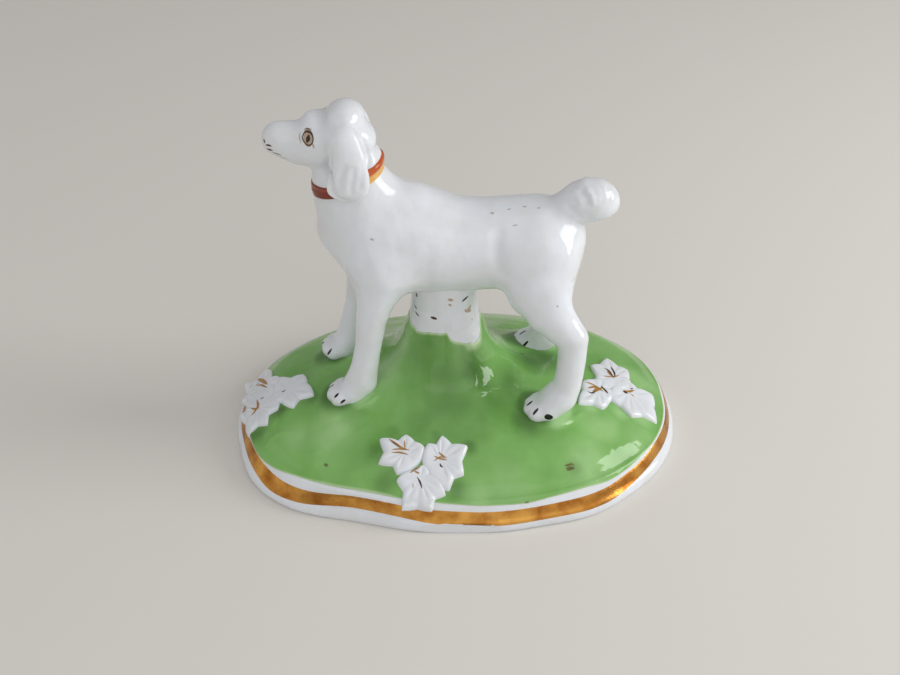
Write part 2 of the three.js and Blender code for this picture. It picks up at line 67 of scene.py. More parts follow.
# Paws: half their width, and the toes' spread along X and Y, rise and radius.
PAW_HALF = 3.8
TOE_SPREAD = (2.9, 2.7)
TOE_RISE = 0.2
TOE_RADIUS = 1.75
# A distance at which a form has no more effect.
FAR_OFF = 20.0


class Slot(Enum):
    """The record's material slots."""

    PORCELAIN = "porcelain"
    GREEN = "green_enamel"
    GOLD = "gilding"
    RED = "iron_red"


class Paint(Enum):
    """Colours that the painter's brush leaves on the glaze, as mesh attributes; the tan wash also lays a painted
    shade beside the eye.
    """

    SPECK = "kiln_speck"
    WASH_AND_SHADE = "tan_wash_and_shade"
    OCHRE = "ochre_paint"
    BROWN = "brown_paint"
    BLACK = "black_paint"


def linear_colour(code: str) -> tuple[float, float, float, float]:
    """Turns an sRGB hex code into a linear colour.

    Args:
        code: Colour such as "#F1EEE9".

    Returns:
        Linear red, green, blue and an alpha of 1.
    """
    shares = [int(code[i : i + 2], 16) / 255 for i in (1, 3, 5)]
    linear = [s / 12.92 if s <= 0.04045 else ((s + 0.055) / 1.055) ** 2.4 for s in shares]
    return (*linear, 1.0)


def smooth_step(low: float, high: float, values: np.ndarray) -> np.ndarray:
    """Eases from 0 at low to 1 at high.

    Args:
        low: Value that gives 0.
        high: Value that gives 1.
        values: Values to ease.

    Returns:
        The eased shares.
    """
    share = np.clip((values - low) / (high - low), 0, 1)
    return share * share * (3 - 2 * share)


def smooth_union(first: np.ndarray, second: np.ndarray, fillet: np.ndarray | float) -> np.ndarray:
    """Joins two distance fields with a fillet of slip along the joint.

    Args:
        first: Distances to one form.
        second: Distances to the other form.
        fillet: Reach of the fillet.

    Returns:
        Distances to the joined form.
    """
    share = np.clip(0.5 + 0.5 * (second - first) / fillet, 0, 1)
    return second + (first - second) * share - fillet * share * (1 - share)


def lumps(points: np.ndarray, size: float, seed: float) -> np.ndarray:
    """Soft random unevenness of hand-worked clay.

    Args:
        points: Places, one row each.
        size: Distance between lumps.
        seed: Shift that makes one pattern differ from another.

    Returns:
        A value of about -1 to 1 for each place.
    """
    spots = (points / size + seed).tolist()
    return np.fromiter((noise.noise(spot) for spot in spots), float, len(spots))


def curve(knots: np.ndarray, count: int) -> np.ndarray:
    """Draws a smooth line through knots.

    Args:
        knots: Places that the line passes through.
        count: Number of points wanted.

    Returns:
        Points along the line, from the first knot to the last.
    """
    padded = np.concatenate([2 * knots[:1] - knots[1:2], knots, 2 * knots[-1:] - knots[-2:-1]])
    line = []
    for t in np.linspace(0, len(knots) - 1, count):
        k = min(int(t), len(knots) - 2)
        u = t - k
        a, b, c, d = padded[k : k + 4]
        bend = (2 * a - 5 * b + 4 * c - d) * u**2 + (3 * b - a - 3 * c + d) * u**3
        line.append(0.5 * (2 * b + (c - a) * u + bend))
    return np.array(line)


def path_distance(places: np.ndarray, path: np.ndarray, margin: float) -> tuple[np.ndarray, np.ndarray]:
    """How far places lie from a line, and how far along it.

    Args:
        places: Places, one row each.
        path: Points of the line.
        margin: Distance beyond which a place counts as far away.

    Returns:
        Distances, and shares of the line's length from 0 to 1.
    """
    near = np.all((places > path.min(axis=0) - margin) & (places < path.max(axis=0) + margin), axis=1)
    spots = places[near]
    lengths = np.linalg.norm(np.diff(path, axis=0), axis=1)
    best = np.full(len(spots), 1e3)
    along_best = np.zeros(len(spots))
    before = 0.0
    for start, end, length in zip(path[:-1], path[1:], lengths):
        along = np.clip((spots - start) @ (end - start) / max(length**2, 1e-9), 0, 1)
        off = np.linalg.norm(spots - start - along[:, None] * (end - start), axis=1)
        nearer = off < best
        best = np.where(nearer, off, best)
        along_best = np.where(nearer, (before + along * length) / max(lengths.sum(), 1e-9), along_best)
        before += length
    apart = np.full(len(places), 1e3)
    share = np.zeros(len(places))
    apart[near] = best
    share[near] = along_best
    return apart, share


def mirrored(points: np.ndarray) -> np.ndarray:
    """Places, with those of the dog's right side mirrored to its left."""
    return np.column_stack([points[:, 0], -np.abs(points[:, 1]), points[:, 2]])


def ring_average(values: np.ndarray, reach: int, rounds: int) -> np.ndarray:
    """Evens out values round a closed ring.

    Args:
        values: Values in order round the ring.
        reach: How many places away the neighbours are.
        rounds: How often neighbours are averaged.

    Returns:
        The evened values.
    """
    for _ in range(rounds):
        values = (np.roll(values, reach) + 2 * values + np.roll(values, -reach)) / 4
    return values


def node_polygons(names: tuple[str, ...]) -> tuple[list[list[float]], list[tuple[int, ...]]]:
    """Collects the solids of some CAD nodes.

    Args:
        names: CAD nodes.

    Returns:
        Corners in millimetres, and faces as corner numbers.
    """
    corners: list[list[float]] = []
    faces: list[tuple[int, ...]] = []
    for name in names:
        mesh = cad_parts[name].data
        first = len(corners)
        corners += [list(vertex.co / MM) for vertex in mesh.vertices]
        faces += [tuple(first + i for i in polygon.vertices) for polygon in mesh.polygons]
    return corners, faces


def node_box(name: str) -> tuple[np.ndarray, np.ndarray]:
    """Lowest and highest corner of a CAD node in millimetres."""
    low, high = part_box(name)
    return np.array(low) / MM, np.array(high) / MM


@dataclass(frozen=True)
class PhotoCamera:
    """The camera that took the photograph, as fitted to the oval of the base.

    Attributes:
        place: Where the lens is.
        tilt: Turn about X from looking straight down.
        lens: Focal length for the sensor width below.
        sensor: Sensor width.
        width: Image width in pixels.
        height: Image height in pixels.
    """

    place: tuple[float, float, float] = (-0.954, -256.64, 214.68)
    tilt: float = 53.5
    lens: float = 56.0
    sensor: float = 36.0
    width: int = 900
    height: int = 675

    def build(self) -> bpy.types.Object:
        """Makes the scene's camera.

        Returns:
            The camera.
        """
        data = bpy.data.cameras.new("photo_camera")
        data.sensor_width = self.sensor
        data.lens = self.lens
        data.clip_start = 0.01
        camera = bpy.data.objects.new("photo_camera", data)
        camera.location = Vector(self.place) * MM
        camera.rotation_euler = (math.radians(self.tilt), 0, 0)
        bpy.context.scene.collection.objects.link(camera)
        bpy.context.scene.camera = camera
        return camera

    def ray(self, pixel: tuple[float, float]) -> Vector:
        """Direction in which the lens sees a pixel.

        Args:
            pixel: Place in the photograph.

        Returns:
            A unit vector.
        """
        focal = self.lens / self.sensor * self.width
        tilt = math.radians(self.tilt)
        right = (pixel[0] - self.width / 2) / focal
        up = (self.height / 2 - pixel[1]) / focal
        return Vector((
            right,
            up * math.cos(tilt) + math.sin(tilt),
            up * math.sin(tilt) - math.cos(tilt),
        )).normalized()

    def level(self, pixel: tuple[float, float], height: float) -> np.ndarray:
        """Place, seen from above, that a pixel shows at a given height.

        Args:
            pixel: Place in the photograph.
            height: Height above the table.

        Returns:
            X and Y.
        """
        ray = self.ray(pixel)
        share = (height - self.place[2]) / ray.z
        return np.array([self.place[0] + share * ray.x, self.place[1] + share * ray.y])

    def onto(self, tree: BVHTree, pixel: tuple[float, float]) -> np.ndarray | None:
        """Finds what a pixel shows.

        Args:
            tree: The surface to look at, in millimetres.
            pixel: Place in the photograph.

        Returns:
            The point of the surface, or None where the pixel misses it.
        """
        found = tree.ray_cast(Vector(self.place), self.ray(pixel))[0]
        return None if found is None else np.array(found)

    def trace(self, tree: BVHTree, pixels: tuple[tuple[float, float], ...]) -> np.ndarray:
        """Carries a line in the photograph onto a surface.

        Args:
            tree: The surface, in millimetres.
            pixels: Places that the line passes through.

        Returns:
            Points of the surface along the line.
        """
        hits = [self.onto(tree, tuple(pixel)) for pixel in curve(np.array(pixels), 6 * len(pixels))]
        path = [hit for hit in hits if hit is not None]
        if len(path) < 2:
            log.warning("a line from %s misses the clay", pixels[0])
            return np.full((2, 3), 1e3)
        return np.array(path)


@dataclass(frozen=True)
class Stroke:
    """A brush stroke, placed by the photograph and carried onto the clay that shows there.

    Attributes:
        paint: Its colour.
        pixels: Places in the photograph that it passes through.
        width: Its width in the middle.
        taper: Share of the width that is lost towards the ends.
    """

    paint: Paint
    pixels: tuple[tuple[float, float], ...]
    width: float
    taper: float = 0.6

    def depth(self, places: np.ndarray, path: np.ndarray) -> np.ndarray:
        """How far each place lies inside the stroke, negative outside it.

        Args:
            places: Points of the surface.
            path: The stroke's line on the surface.

        Returns:
            A distance for each place, no less than -1.
        """
        apart, share = path_distance(places, path, self.width + 1)
        half = self.width / 2 * (1 - self.taper * (2 * share - 1) ** 2)
        return np.maximum(half - apart, -1)


@dataclass(frozen=True)
class Groove:
    """A line pressed into the clay with a modelling tool, or a ridge where the depth is negative.

    Attributes:
        pixels: Places in the photograph that it passes through.
        width: Its width.
        depth: Its depth half way along.
    """

    pixels: tuple[tuple[float, float], ...]
    width: float
    depth: float

    def lift(self, places: np.ndarray, path: np.ndarray) -> np.ndarray:
        """How far the tool raises each place.

        Args:
            places: Points of the surface.
            path: The groove's line on the surface.

        Returns:
            A lift for each place, negative where it sinks.
        """
        apart, share = path_distance(places, path, 2 * self.width)
        fade = 1 - (2 * share - 1) ** 4
        return -self.depth * fade * np.exp(-((2 * apart / self.width) ** 2))


@dataclass(frozen=True)
class Dent:
    """A thumb mark in the clay, or a swelling where the depth is negative.

    Attributes:
        centre: Its middle.
        reach: Its reach along X, Y and Z.
        depth: How far it sinks in.
        both_sides: Whether the other side of the dog has it too.
    """

    centre: tuple[float, float, float]
    reach: tuple[float, float, float]
    depth: float
    both_sides: bool = True

    def lift(self, points: np.ndarray) -> np.ndarray:
        """How far the mark raises each place.

        Args:
            points: Points of the surface.

        Returns:
            A lift for each place, negative where it sinks.
        """
        places = mirrored(points) if self.both_sides else points
        spread = (places - np.array(self.centre)) / np.array(self.reach)
        return -self.depth * np.exp(-(spread**2).sum(axis=1))


@dataclass
class Skin:
    """A glazed surface as a mesh of quads.

    Attributes:
        points: Corners in millimetres.
        faces: Four corner numbers for each face.
        marks: Values kept at each corner for the finish, by name.
    """

    points: np.ndarray
    faces: np.ndarray
    marks: dict[str, np.ndarray] = field(default_factory=dict)

    @classmethod
    def loft(cls, rings: list[np.ndarray]) -> "Skin":
        """Joins closed rings of equal length into a surface.

        Args:
            rings: Rings from one end to the other, each with one row per corner.

        Returns:
            The surface, facing outwards where the rings run anticlockwise going down.
        """
        count = len(rings[0])
        corner = np.arange(count)
        following = (corner + 1) % count
        strips = [
            np.stack([a + corner, a + count + corner, a + count + following, a + following], axis=1)
            for a in range(0, count * (len(rings) - 1), count)
        ]
        return cls(np.concatenate(rings), np.concatenate(strips))

    def outermost(self) -> "Skin":
        """Keeps the largest connected surface and drops closed pockets inside it.

        Returns:
            The surface without them.
        """
        label = np.arange(len(self.points))
        while True:
            lowest = label.copy()
            np.minimum.at(lowest, self.faces, label[self.faces].min(axis=1)[:, None])
            lowest = lowest[lowest]
            if np.array_equal(lowest, label):
                break
            label = lowest
        kept = self.faces[label[self.faces[:, 0]] == np.bincount(label[self.faces[:, 0]]).argmax()]
        used, faces = np.unique(kept, return_inverse=True)
        return Skin(self.points[used], faces.reshape(kept.shape))

    def normals(self) -> np.ndarray:
        """Unit normals at the corners.

        Returns:
            One vector for each corner.
        """
        quads = self.points[self.faces]
        flat = np.cross(quads[:, 2] - quads[:, 0], quads[:, 3] - quads[:, 1])
        total = np.zeros_like(self.points)
        for corner in self.faces.T:
            np.add.at(total, corner, flat)
        return total / np.maximum(np.linalg.norm(total, axis=1, keepdims=True), 1e-9)

    def raise_by(self, lift: np.ndarray) -> None:
        """Moves each corner along its normal by its own lift."""
        self.points = self.points + self.normals() * lift[:, None]

    def tree(self) -> BVHTree:
        """The surface as a search tree in millimetres."""
        return BVHTree.FromPolygons(self.points.tolist(), self.faces.tolist())

    def near_side(self, both_sides: bool) -> np.ndarray:
        """Corners, with those of the far side mirrored to the near side where both are worked alike."""
        return mirrored(self.points) if both_sides else self.points

    def tool(self, grooves: tuple[Groove, ...], camera: PhotoCamera, both_sides: bool) -> None:
        """Presses grooves into the clay.

        Args:
            grooves: What the modeller drew.
            camera: The camera that saw it.
            both_sides: Whether the far side of the dog is worked alike.
        """
        tree = self.tree()
        places = self.near_side(both_sides)
        self.raise_by(sum(groove.lift(places, camera.trace(tree, groove.pixels)) for groove in grooves))

    def prime(self) -> None:
        """Leaves the surface bare of every paint that no stroke has laid."""
        for paint in Paint:
            self.marks.setdefault(paint.value, np.full(len(self.points), -1.0))

    def brush(self, strokes: tuple[Stroke, ...], camera: PhotoCamera, both_sides: bool) -> None:
        """Lays brush strokes on the surface as distances into each colour.

        Args:
            strokes: What the painter drew.
            camera: The camera that saw it.
            both_sides: Whether the far side of the dog is painted alike.
        """
        tree = self.tree()
        places = self.near_side(both_sides)
        self.prime()
        for stroke in strokes:
            inside = self.marks[stroke.paint.value]
            np.maximum(inside, stroke.depth(places, camera.trace(tree, stroke.pixels)), out=inside)

    def build(self, name: str, material: bpy.types.Material, slot: Slot, *nodes: str) -> bpy.types.Object:
        """Makes the piece that stands for some CAD nodes.

        Args:
            name: The piece's name.
            material: Its finish.
            slot: The record's slot for that finish; not used.
            nodes: CAD nodes that it stands for.

        Returns:
            The piece.
        """
        mesh = bpy.data.meshes.new(name)
        mesh.from_pydata((self.points * MM).tolist(), [], self.faces.tolist())
        self.prime()
        for mark, values in self.marks.items():
            attribute = mesh.attributes.new(mark, "FLOAT", "POINT")
            attribute.data.foreach_set("value", values.astype(np.float32))
        welded = bmesh.new()
        welded.from_mesh(mesh)
        bmesh.ops.remove_doubles(welded, verts=welded.verts, dist=0.002 * MM)
        welded.to_mesh(mesh)
        welded.free()
        mesh.shade_smooth()
        mesh.materials.append(material)
        piece = bpy.data.objects.new(name, mesh)
        bpy.context.scene.collection.objects.link(piece)
        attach(piece, BODY)
        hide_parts(*nodes)
        log.info("%s: %d faces, stands for %s", name, len(mesh.polygons), ", ".join(nodes))
        return piece


@dataclass
class Trunk:
    """The joined torso and head as one search tree of the faces that can be seen from outside.

    Attributes:
        sight: Number of directions in which a face looks for the open air.
        clearance: Where a look starts, off the face.
    """

    sight: int = 24
    clearance: float = 0.05
    tree: BVHTree = field(init=False)

    def __post_init__(self) -> None:
        """Drops the faces of the hollow, the vents and the joints, and those that the stump hides."""
        corners, faces = node_polygons(TRUNK_NODES)
        blockers = BVHTree.FromPolygons(*node_polygons((*TRUNK_NODES, "stump")))
        places = np.array(corners)
        golden = math.pi * (3 - math.sqrt(5))
        rise = 1 - 2 * (np.arange(self.sight) + 0.5) / self.sight
        turn = golden * np.arange(self.sight)
        level = np.sqrt(1 - rise**2)
        looks = [Vector(look) for look in zip(level * np.cos(turn), level * np.sin(turn), rise)]
        seen = []
        for face in faces:
            spot = Vector(places[list(face)].mean(axis=0))
            a, b, c = (Vector(corners[i]) for i in face[:3])
            normal = (b - a).cross(c - a).normalized()
            start = spot + normal * self.clearance
            ahead = [look for look in looks if look.dot(normal) > 0.2]
            if any(blockers.ray_cast(start, look)[0] is None for look in ahead):
                seen.append(face)
        self.tree = BVHTree.FromPolygons(corners, seen)


@dataclass
class Clay:
    """Signed distances to a modelled form on a regular grid, negative inside the clay.

    Attributes:
        low: Corner of the grid with the smallest coordinates.
        high: Corner with the largest coordinates.
        step: Grid spacing.
        reach: Largest distance kept outside the clay.
    """

    low: np.ndarray
    high: np.ndarray
    step: float
    reach: float = 5.0

    def axes(self) -> list[np.ndarray]:
        """Grid coordinates along X, Y and Z."""
        return [np.arange(a, b + self.step, self.step) for a, b in zip(self.low, self.high)]

    def points(self) -> np.ndarray:
        """Grid points as an array of shape X, Y, Z, 3."""
        return np.stack(np.meshgrid(*self.axes(), indexing="ij"), axis=-1)

    def distance(self, tree: BVHTree, low: np.ndarray, high: np.ndarray) -> np.ndarray:
        """Distances to a closed surface.

        Args:
            tree: The surface.
            low: Lowest corner of its box.
            high: Highest corner of its box.

        Returns:
            Distances on the whole grid, cut off at the reach.
        """
        axes = self.axes()
        near = [(axis > a - self.reach) & (axis < b + self.reach) for axis, a, b in zip(axes, low, high)]
        parts = [axis[keep] for axis, keep in zip(axes, near)]
        spots = np.stack(np.meshgrid(*parts, indexing="ij"), axis=-1).reshape(-1, 3)
        found = np.fromiter((signed_distance(tree, Vector(p)) for p in spots.tolist()), float, len(spots))
        values = np.full([len(axis) for axis in axes], self.reach)
        values[np.ix_(*near)] = found.reshape([len(part) for part in parts])
        return np.minimum(values, self.reach)

    def solid(self, name: str) -> np.ndarray:
        """Distances to one CAD node."""
        return self.distance(BVHTree.FromPolygons(*node_polygons((name,))), *node_box(name))

    def blurred(self, values: np.ndarray, spread: float) -> np.ndarray:
        """Averages distances over a bell of a given spread.

        Args:
            values: Distances on the grid.
            spread: Standard deviation of the bell.

        Returns:
            The averaged distances.
        """
        taps = max(int(math.ceil(2.5 * spread / self.step)), 1)
        offsets = np.arange(-taps, taps + 1)
        weights = np.exp(-0.5 * (offsets * self.step / spread) ** 2)
        weights /= weights.sum()
        for axis in range(3):
            pad = [(taps, taps) if i == axis else (0, 0) for i in range(3)]
            padded = np.pad(values, pad, mode="edge")
            count = values.shape[axis]
            values = sum(
                w * padded.take(range(k, k + count), axis=axis) for k, w in enumerate(weights)
            )
        return values

    def softened(self, values: np.ndarray, spread: float) -> np.ndarray:
        """Rounds off facets and edges without making round forms thinner."""
        once = self.blurred(values, spread)
        return 2 * once - self.blurred(once, spread)

    def skin(self, values: np.ndarray) -> Skin:
        """Draws the surface of the clay on a grid twice as fine.

        Args:
            values: Distances on the grid.

        Returns:
            The surface, settled onto the clay.
        """
        fine = values
        for axis in range(3):
            fine = halved_grid(fine, axis)
        step = self.step / 2
        skin = surface_net(fine, self.low, step).outermost()
        slopes = np.stack(np.gradient(fine, step), axis=-1)
        for _ in range(3):
            depth = sampled(fine[..., None], self.low, step, skin.points)
            slope = sampled(slopes, self.low, step, skin.points)
            size = np.maximum((slope**2).sum(axis=1, keepdims=True), 0.2)
            skin.points = skin.points - np.clip(depth * slope / size, -step, step)
        return skin


def signed_distance(tree: BVHTree, point: Vector) -> float:
    """Distance to a surface, negative behind its faces.

    Args:
        tree: The surface.
        point: The place.

    Returns:
        The signed distance.
    """
    place, normal, _, distance = tree.find_nearest(point)
    if distance < 1e-6:
        return 0.0
    facing = (point - place).dot(normal) / distance
    if abs(facing) < 0.7:
        for other, turned, _, _ in tree.find_nearest_range(point, distance + 1e-4):
            look = (point - other).dot(turned) / distance
            if abs(look) > abs(facing):
                facing = look
    return math.copysign(distance, facing)


def halved_grid(values: np.ndarray, axis: int) -> np.ndarray:
    """Puts a cubic midpoint between neighbours along one axis.

    Args:
        values: Values on a grid.
        axis: Axis to refine.

    Returns:
        Values on the finer grid.
    """
    rows = np.moveaxis(values, axis, 0)
    padded = np.concatenate([2 * rows[:1] - rows[1:2], rows, 2 * rows[-1:] - rows[-2:-1]])
    middle = (9 * (padded[1:-2] + padded[2:-1]) - padded[:-3] - padded[3:]) / 16
    fine = np.empty((2 * len(rows) - 1, *rows.shape[1:]))
    fine[::2] = rows
    fine[1::2] = middle
    return np.moveaxis(fine, 0, axis)


def sampled(values: np.ndarray, low: np.ndarray, step: float, points: np.ndarray) -> np.ndarray:
    """Reads grid values between grid points.

    Args:
        values: Grid values, with their components on the last axis.
        low: Lowest grid corner.
        step: Grid spacing.
        points: Places to read.

    Returns:
        One row of components for each place.
    """
    spots = (points - low) / step
    cell = np.clip(np.floor(spots).astype(int), 0, np.array(values.shape[:3]) - 2)
    share = spots - cell
    total = np.zeros((len(points), values.shape[3]))
    for corner in product((0, 1), repeat=3):
        weight = np.prod(np.where(corner, share, 1 - share), axis=1)
        index = cell + corner
        total += weight[:, None] * values[index[:, 0], index[:, 1], index[:, 2]]
    return total


def surface_net(values: np.ndarray, low: np.ndarray, step: float) -> Skin:
    """Draws the surface where distances change sign.

    Args:
        values: Distances on a grid.
        low: Lowest grid corner.
        step: Grid spacing.

    Returns:
        The surface, with one corner in each grid cell that it crosses.
    """
    inside = values < 0
    size = np.array(values.shape) - 1
    filled = sum(
        inside[tuple(slice(o, o + n) for o, n in zip(offset, size))].astype(np.int8)
        for offset in product((0, 1), repeat=3)
    )
    crossed = (filled > 0) & (filled < 8)
    cells = np.argwhere(crossed)
    number = np.full(crossed.shape, -1)
    number[crossed] = np.arange(len(cells))
    total = np.zeros((len(cells), 3))
    count = np.zeros((len(cells), 1))
    faces = []
    for axis in range(3):
        unit = np.eye(3, dtype=int)[axis]
        across, beyond = (np.eye(3, dtype=int)[(axis + k) % 3] for k in (1, 2))
        for offset in (0 * unit, across, beyond, across + beyond):
            start = cells + offset
            end = start + unit
            a = values[tuple(start.T)]
            b = values[tuple(end.T)]
            cuts = (a < 0) != (b < 0)
            share = np.where(cuts, a / np.where(cuts, a - b, 1), 0)
            total += np.where(cuts[:, None], offset + share[:, None] * unit, 0)
            count += cuts[:, None]
        starts = np.argwhere(np.diff(inside.astype(np.int8), axis=axis) != 0)
        ring = [starts - across - beyond, starts - beyond, starts, starts - across]
        keep = np.all([np.all((c >= 0) & (c < size), axis=1) for c in ring], axis=0)
        quads = np.stack([number[tuple(c[keep].T)] for c in ring], axis=1)
        falling = inside[tuple(starts[keep].T)]
        faces.append(np.where(falling[:, None], quads, quads[:, ::-1]))
    points = low + step * (cells + total / np.maximum(count, 1))
    quads = np.concatenate(faces)
    return Skin(points, quads[np.all(quads >= 0, axis=1)])


@dataclass(frozen=True)
class CollarPlane:
    """The plane of the collar, where the head is luted to the neck.

    Attributes:
        lean: How far the neck leans forward.
        overlap: How far both skins run under the collar.
    """

    lean: float = 21.0
    overlap: float = 0.6

    def centre(self) -> np.ndarray:
        """Middle of the collar."""
        low, high = node_box("collar")
        return (low + high) / 2

    def axis(self) -> np.ndarray:
        """Direction of the neck."""
        lean = math.radians(self.lean)
        return np.array([-math.sin(lean), 0, math.cos(lean)])

    def above(self, points: np.ndarray) -> np.ndarray:
        """Height of places above the plane."""
        return (points - self.centre()) @ self.axis()


def add_node(
    tree: bpy.types.NodeTree,
    kind: str,
    settings: dict | None = None,
    values: dict | None = None,
    links: dict | None = None,
) -> bpy.types.Node:
    """Adds a shader node.

    Args:
        tree: Node tree of the material.
        kind: Blender's name of the node type.
        settings: Properties of the node.
        values: Values of its inputs, by socket name or number.
        links: Outputs that feed its inputs, by socket name or number.

    Returns:
        The node.
    """
    node = tree.nodes.new(kind)
    for name, value in (settings or {}).items():
        setattr(node, name, value)
    for socket, value in (values or {}).items():
        node.inputs[socket].default_value = value
    for socket, source in (links or {}).items():
        tree.links.new(source, node.inputs[socket])
    return node


@dataclass(frozen=True)
class Layer:
    """One colour over another in a finish.

    Attributes:
        code: Colour as sRGB hex.
        mark: Mesh attribute that says where it lies.
        start: Value of the attribute at which the colour begins.
        full: Value at which it covers fully.
        strength: Cover where it is full.
    """

    code: str
    mark: str
    start: float
    full: float
    strength: float = 1.0


@dataclass(frozen=True)
class Glaze:
    """A glossy fired finish.

    Attributes:
        name: Material name.
        code: Main colour as sRGB hex.
        shade: Colour that it drifts to where the coat varies.
        drift: Size of that variation.
        layers: Colours that lie over it.
        gloss: Roughness of the glaze surface.
        ripple: Height of the glaze's fine unevenness.
        ripple_size: Size of that unevenness.
        scatter: Share of light that goes through the body.
        metal: Metallic share.
    """

    name: str
    code: str
    shade: str
    drift: float
    layers: tuple[Layer, ...] = ()
    gloss: float = 0.06
    ripple: float = 0.02
    ripple_size: float = 2.0
    scatter: float = 0.0
    metal: float = 0.0

    def material(self) -> bpy.types.Material:
        """Makes the material, or finds it where another piece has it already.

        Returns:
            The material.
        """
        made = bpy.data.materials.get(self.name)
        if made is not None:
            return made
        made = bpy.data.materials.new(self.name)
        made.use_nodes = True
        tree = made.node_tree
        tree.nodes.clear()
        place = add_node(tree, "ShaderNodeTexCoord").outputs["Object"]
        cloud = add_node(
            tree,
            "ShaderNodeTexNoise",
            values={"Scale": 1 / (self.drift * MM), "Detail": 3.0, "Roughness": 0.55},
            links={"Vector": place},
        )
        spread = add_node(
            tree,
            "ShaderNodeMapRange",
            values={"From Min": 0.35, "From Max": 0.65},
            links={"Value": cloud.outputs["Fac"]},
        )
        colour = mixed(
            tree,
            spread.outputs["Result"],
            linear_colour(self.code),
            linear_colour(self.shade),
        )
        for layer in self.layers:
            mark = add_node(tree, "ShaderNodeAttribute", {"attribute_name": layer.mark})
            cover = add_node(
                tree,
                "ShaderNodeMapRange",
                {"interpolation_type": "SMOOTHSTEP"},
                {"From Min": layer.start, "From Max": layer.full, "To Max": layer.strength},
                {"Value": mark.outputs["Fac"]},
            )
            colour = mixed(tree, cover.outputs["Result"], colour, linear_colour(layer.code))
        wave = add_node(
            tree,
            "ShaderNodeTexNoise",
            values={"Scale": 1 / (self.ripple_size * MM), "Detail": 2.0},
            links={"Vector": place},
        )
        bump = add_node(
            tree,
            "ShaderNodeBump",
            values={"Strength": 1.0, "Distance": self.ripple * MM},
            links={"Height": wave.outputs["Fac"]},
        )
        satin = add_node(
            tree,
            "ShaderNodeMapRange",
            values={"To Min": 0.6 * self.gloss, "To Max": 1.4 * self.gloss},
            links={"Value": cloud.outputs["Fac"]},
        )
        surface = add_node(
            tree,
            "ShaderNodeBsdfPrincipled",
            values={
                "IOR": 1.5,
                "Metallic": self.metal,
                "Subsurface Weight": self.scatter,
                "Subsurface Radius": (1.0, 0.8, 0.6),
                "Subsurface Scale": 1.2 * MM,
            },
            links={
                "Base Color": colour,
                "Roughness": satin.outputs["Result"],
                "Normal": bump.outputs["Normal"],
            },
        )
        add_node(tree, "ShaderNodeOutputMaterial", links={"Surface": surface.outputs["BSDF"]})
        return made


def mixed(
    tree: bpy.types.NodeTree,
    share: bpy.types.NodeSocket,
    under: bpy.types.NodeSocket | tuple[float, ...],
    over: bpy.types.NodeSocket | tuple[float, ...],
) -> bpy.types.NodeSocket:
    """Mixes two colours.

    Args:
        tree: Node tree of the material.
        share: Share of the second colour.
        under: First colour or its socket.
        over: Second colour or its socket.

    Returns:
        The mixed colour's socket.
    """
    node = add_node(tree, "ShaderNodeMix", {"data_type": "RGBA"}, links={0: share})
    for socket, colour in ((6, under), (7, over)):
        if isinstance(colour, bpy.types.NodeSocket):
            tree.links.new(colour, node.inputs[socket])
        else:
            node.inputs[socket].default_value = colour
    return node.outputs[2]


# Enamel colours laid on with a fine brush, thin at the edge of a stroke and full in its middle; the tan wash also
# gives a painted shade beside the eye.
PAINTED_LAYERS = (
    Layer("#8C948C", Paint.SPECK.value, -0.12, 0.2, 0.75),
    Layer("#A98B62", Paint.WASH_AND_SHADE.value, -0.06, 0.14, 0.8),
    Layer("#A87C3E", Paint.OCHRE.value, -0.04, 0.16),
    Layer("#4A2C17", Paint.BROWN.value, -0.03, 0.1),
    Layer("#16110E", Paint.BLACK.value, 0.0, 0.1),
)
# Clear glaze over white clay: bright, faintly cool, with a sharp gloss from the fired glass.
WHITE_GLAZE = Glaze(
    "white_porcelain_glaze", "#E6EAF0", "#E0E2E5", 9.0, PAINTED_LAYERS, gloss=0.07, ripple=0.1,
    ripple_size=2.6, scatter=0.15,
)
# Copper-green enamel melts into a thick glass that is darker where it pools; the pool layer also adds painted shade
# and the thin layer painted highlight.
GREEN_GLAZE = Glaze(
    "apple_green_enamel", "#83BA63", "#70A651", 14.0,
    (
        Layer("#B4DC9C", "thin", 0.0, 0.9, 0.8),
        Layer("#38611F", "pool_and_shade", 0.0, 0.9, 0.85),
        Layer("#C9DDB0", "edge", -0.8, 0.0, 0.8),
        Layer("#5B4A22", Paint.BROWN.value, -0.1, 0.25, 0.85),
    ),
    gloss=0.07, ripple=0.2, ripple_size=4.5,
)
# Gold fired on and burnished: brown where thin, bright where rubbed.
GOLD_GLAZE = Glaze(
    "burnished_gold", "#DFA552", "#AD6C2C", 5.0, gloss=0.26, ripple=0.03, ripple_size=0.8, metal=1.0,
)
# Iron red is a thin painted wash, darker where the brush left more; the collar is also darker towards its front, with
# a painted highlight line near the upper edge, and its pale gold layer is gilding that also carries a painted
# highlight.
RED_GLAZE = Glaze(
    "iron_red_enamel", "#C65A22", "#A23F14", 3.0,
    (Layer("#6E1F0D", "dark", 0.1, 0.9, 0.85), Layer("#E3B062", "gold", 0.2, 0.9)),
    gloss=0.12, ripple=0.03, ripple_size=0.9,
)


@dataclass(frozen=True)
class Girth:
    """One cross-section of a limb.

    Attributes:
        x: Its middle along the dog.
        y: Its middle across the dog, on the left side.
        z: Its middle's height.
        depth: Half its size along the stride.
        width: Half its size across the dog.
    """

    x: float
    y: float
    z: float
    depth: float
    width: float


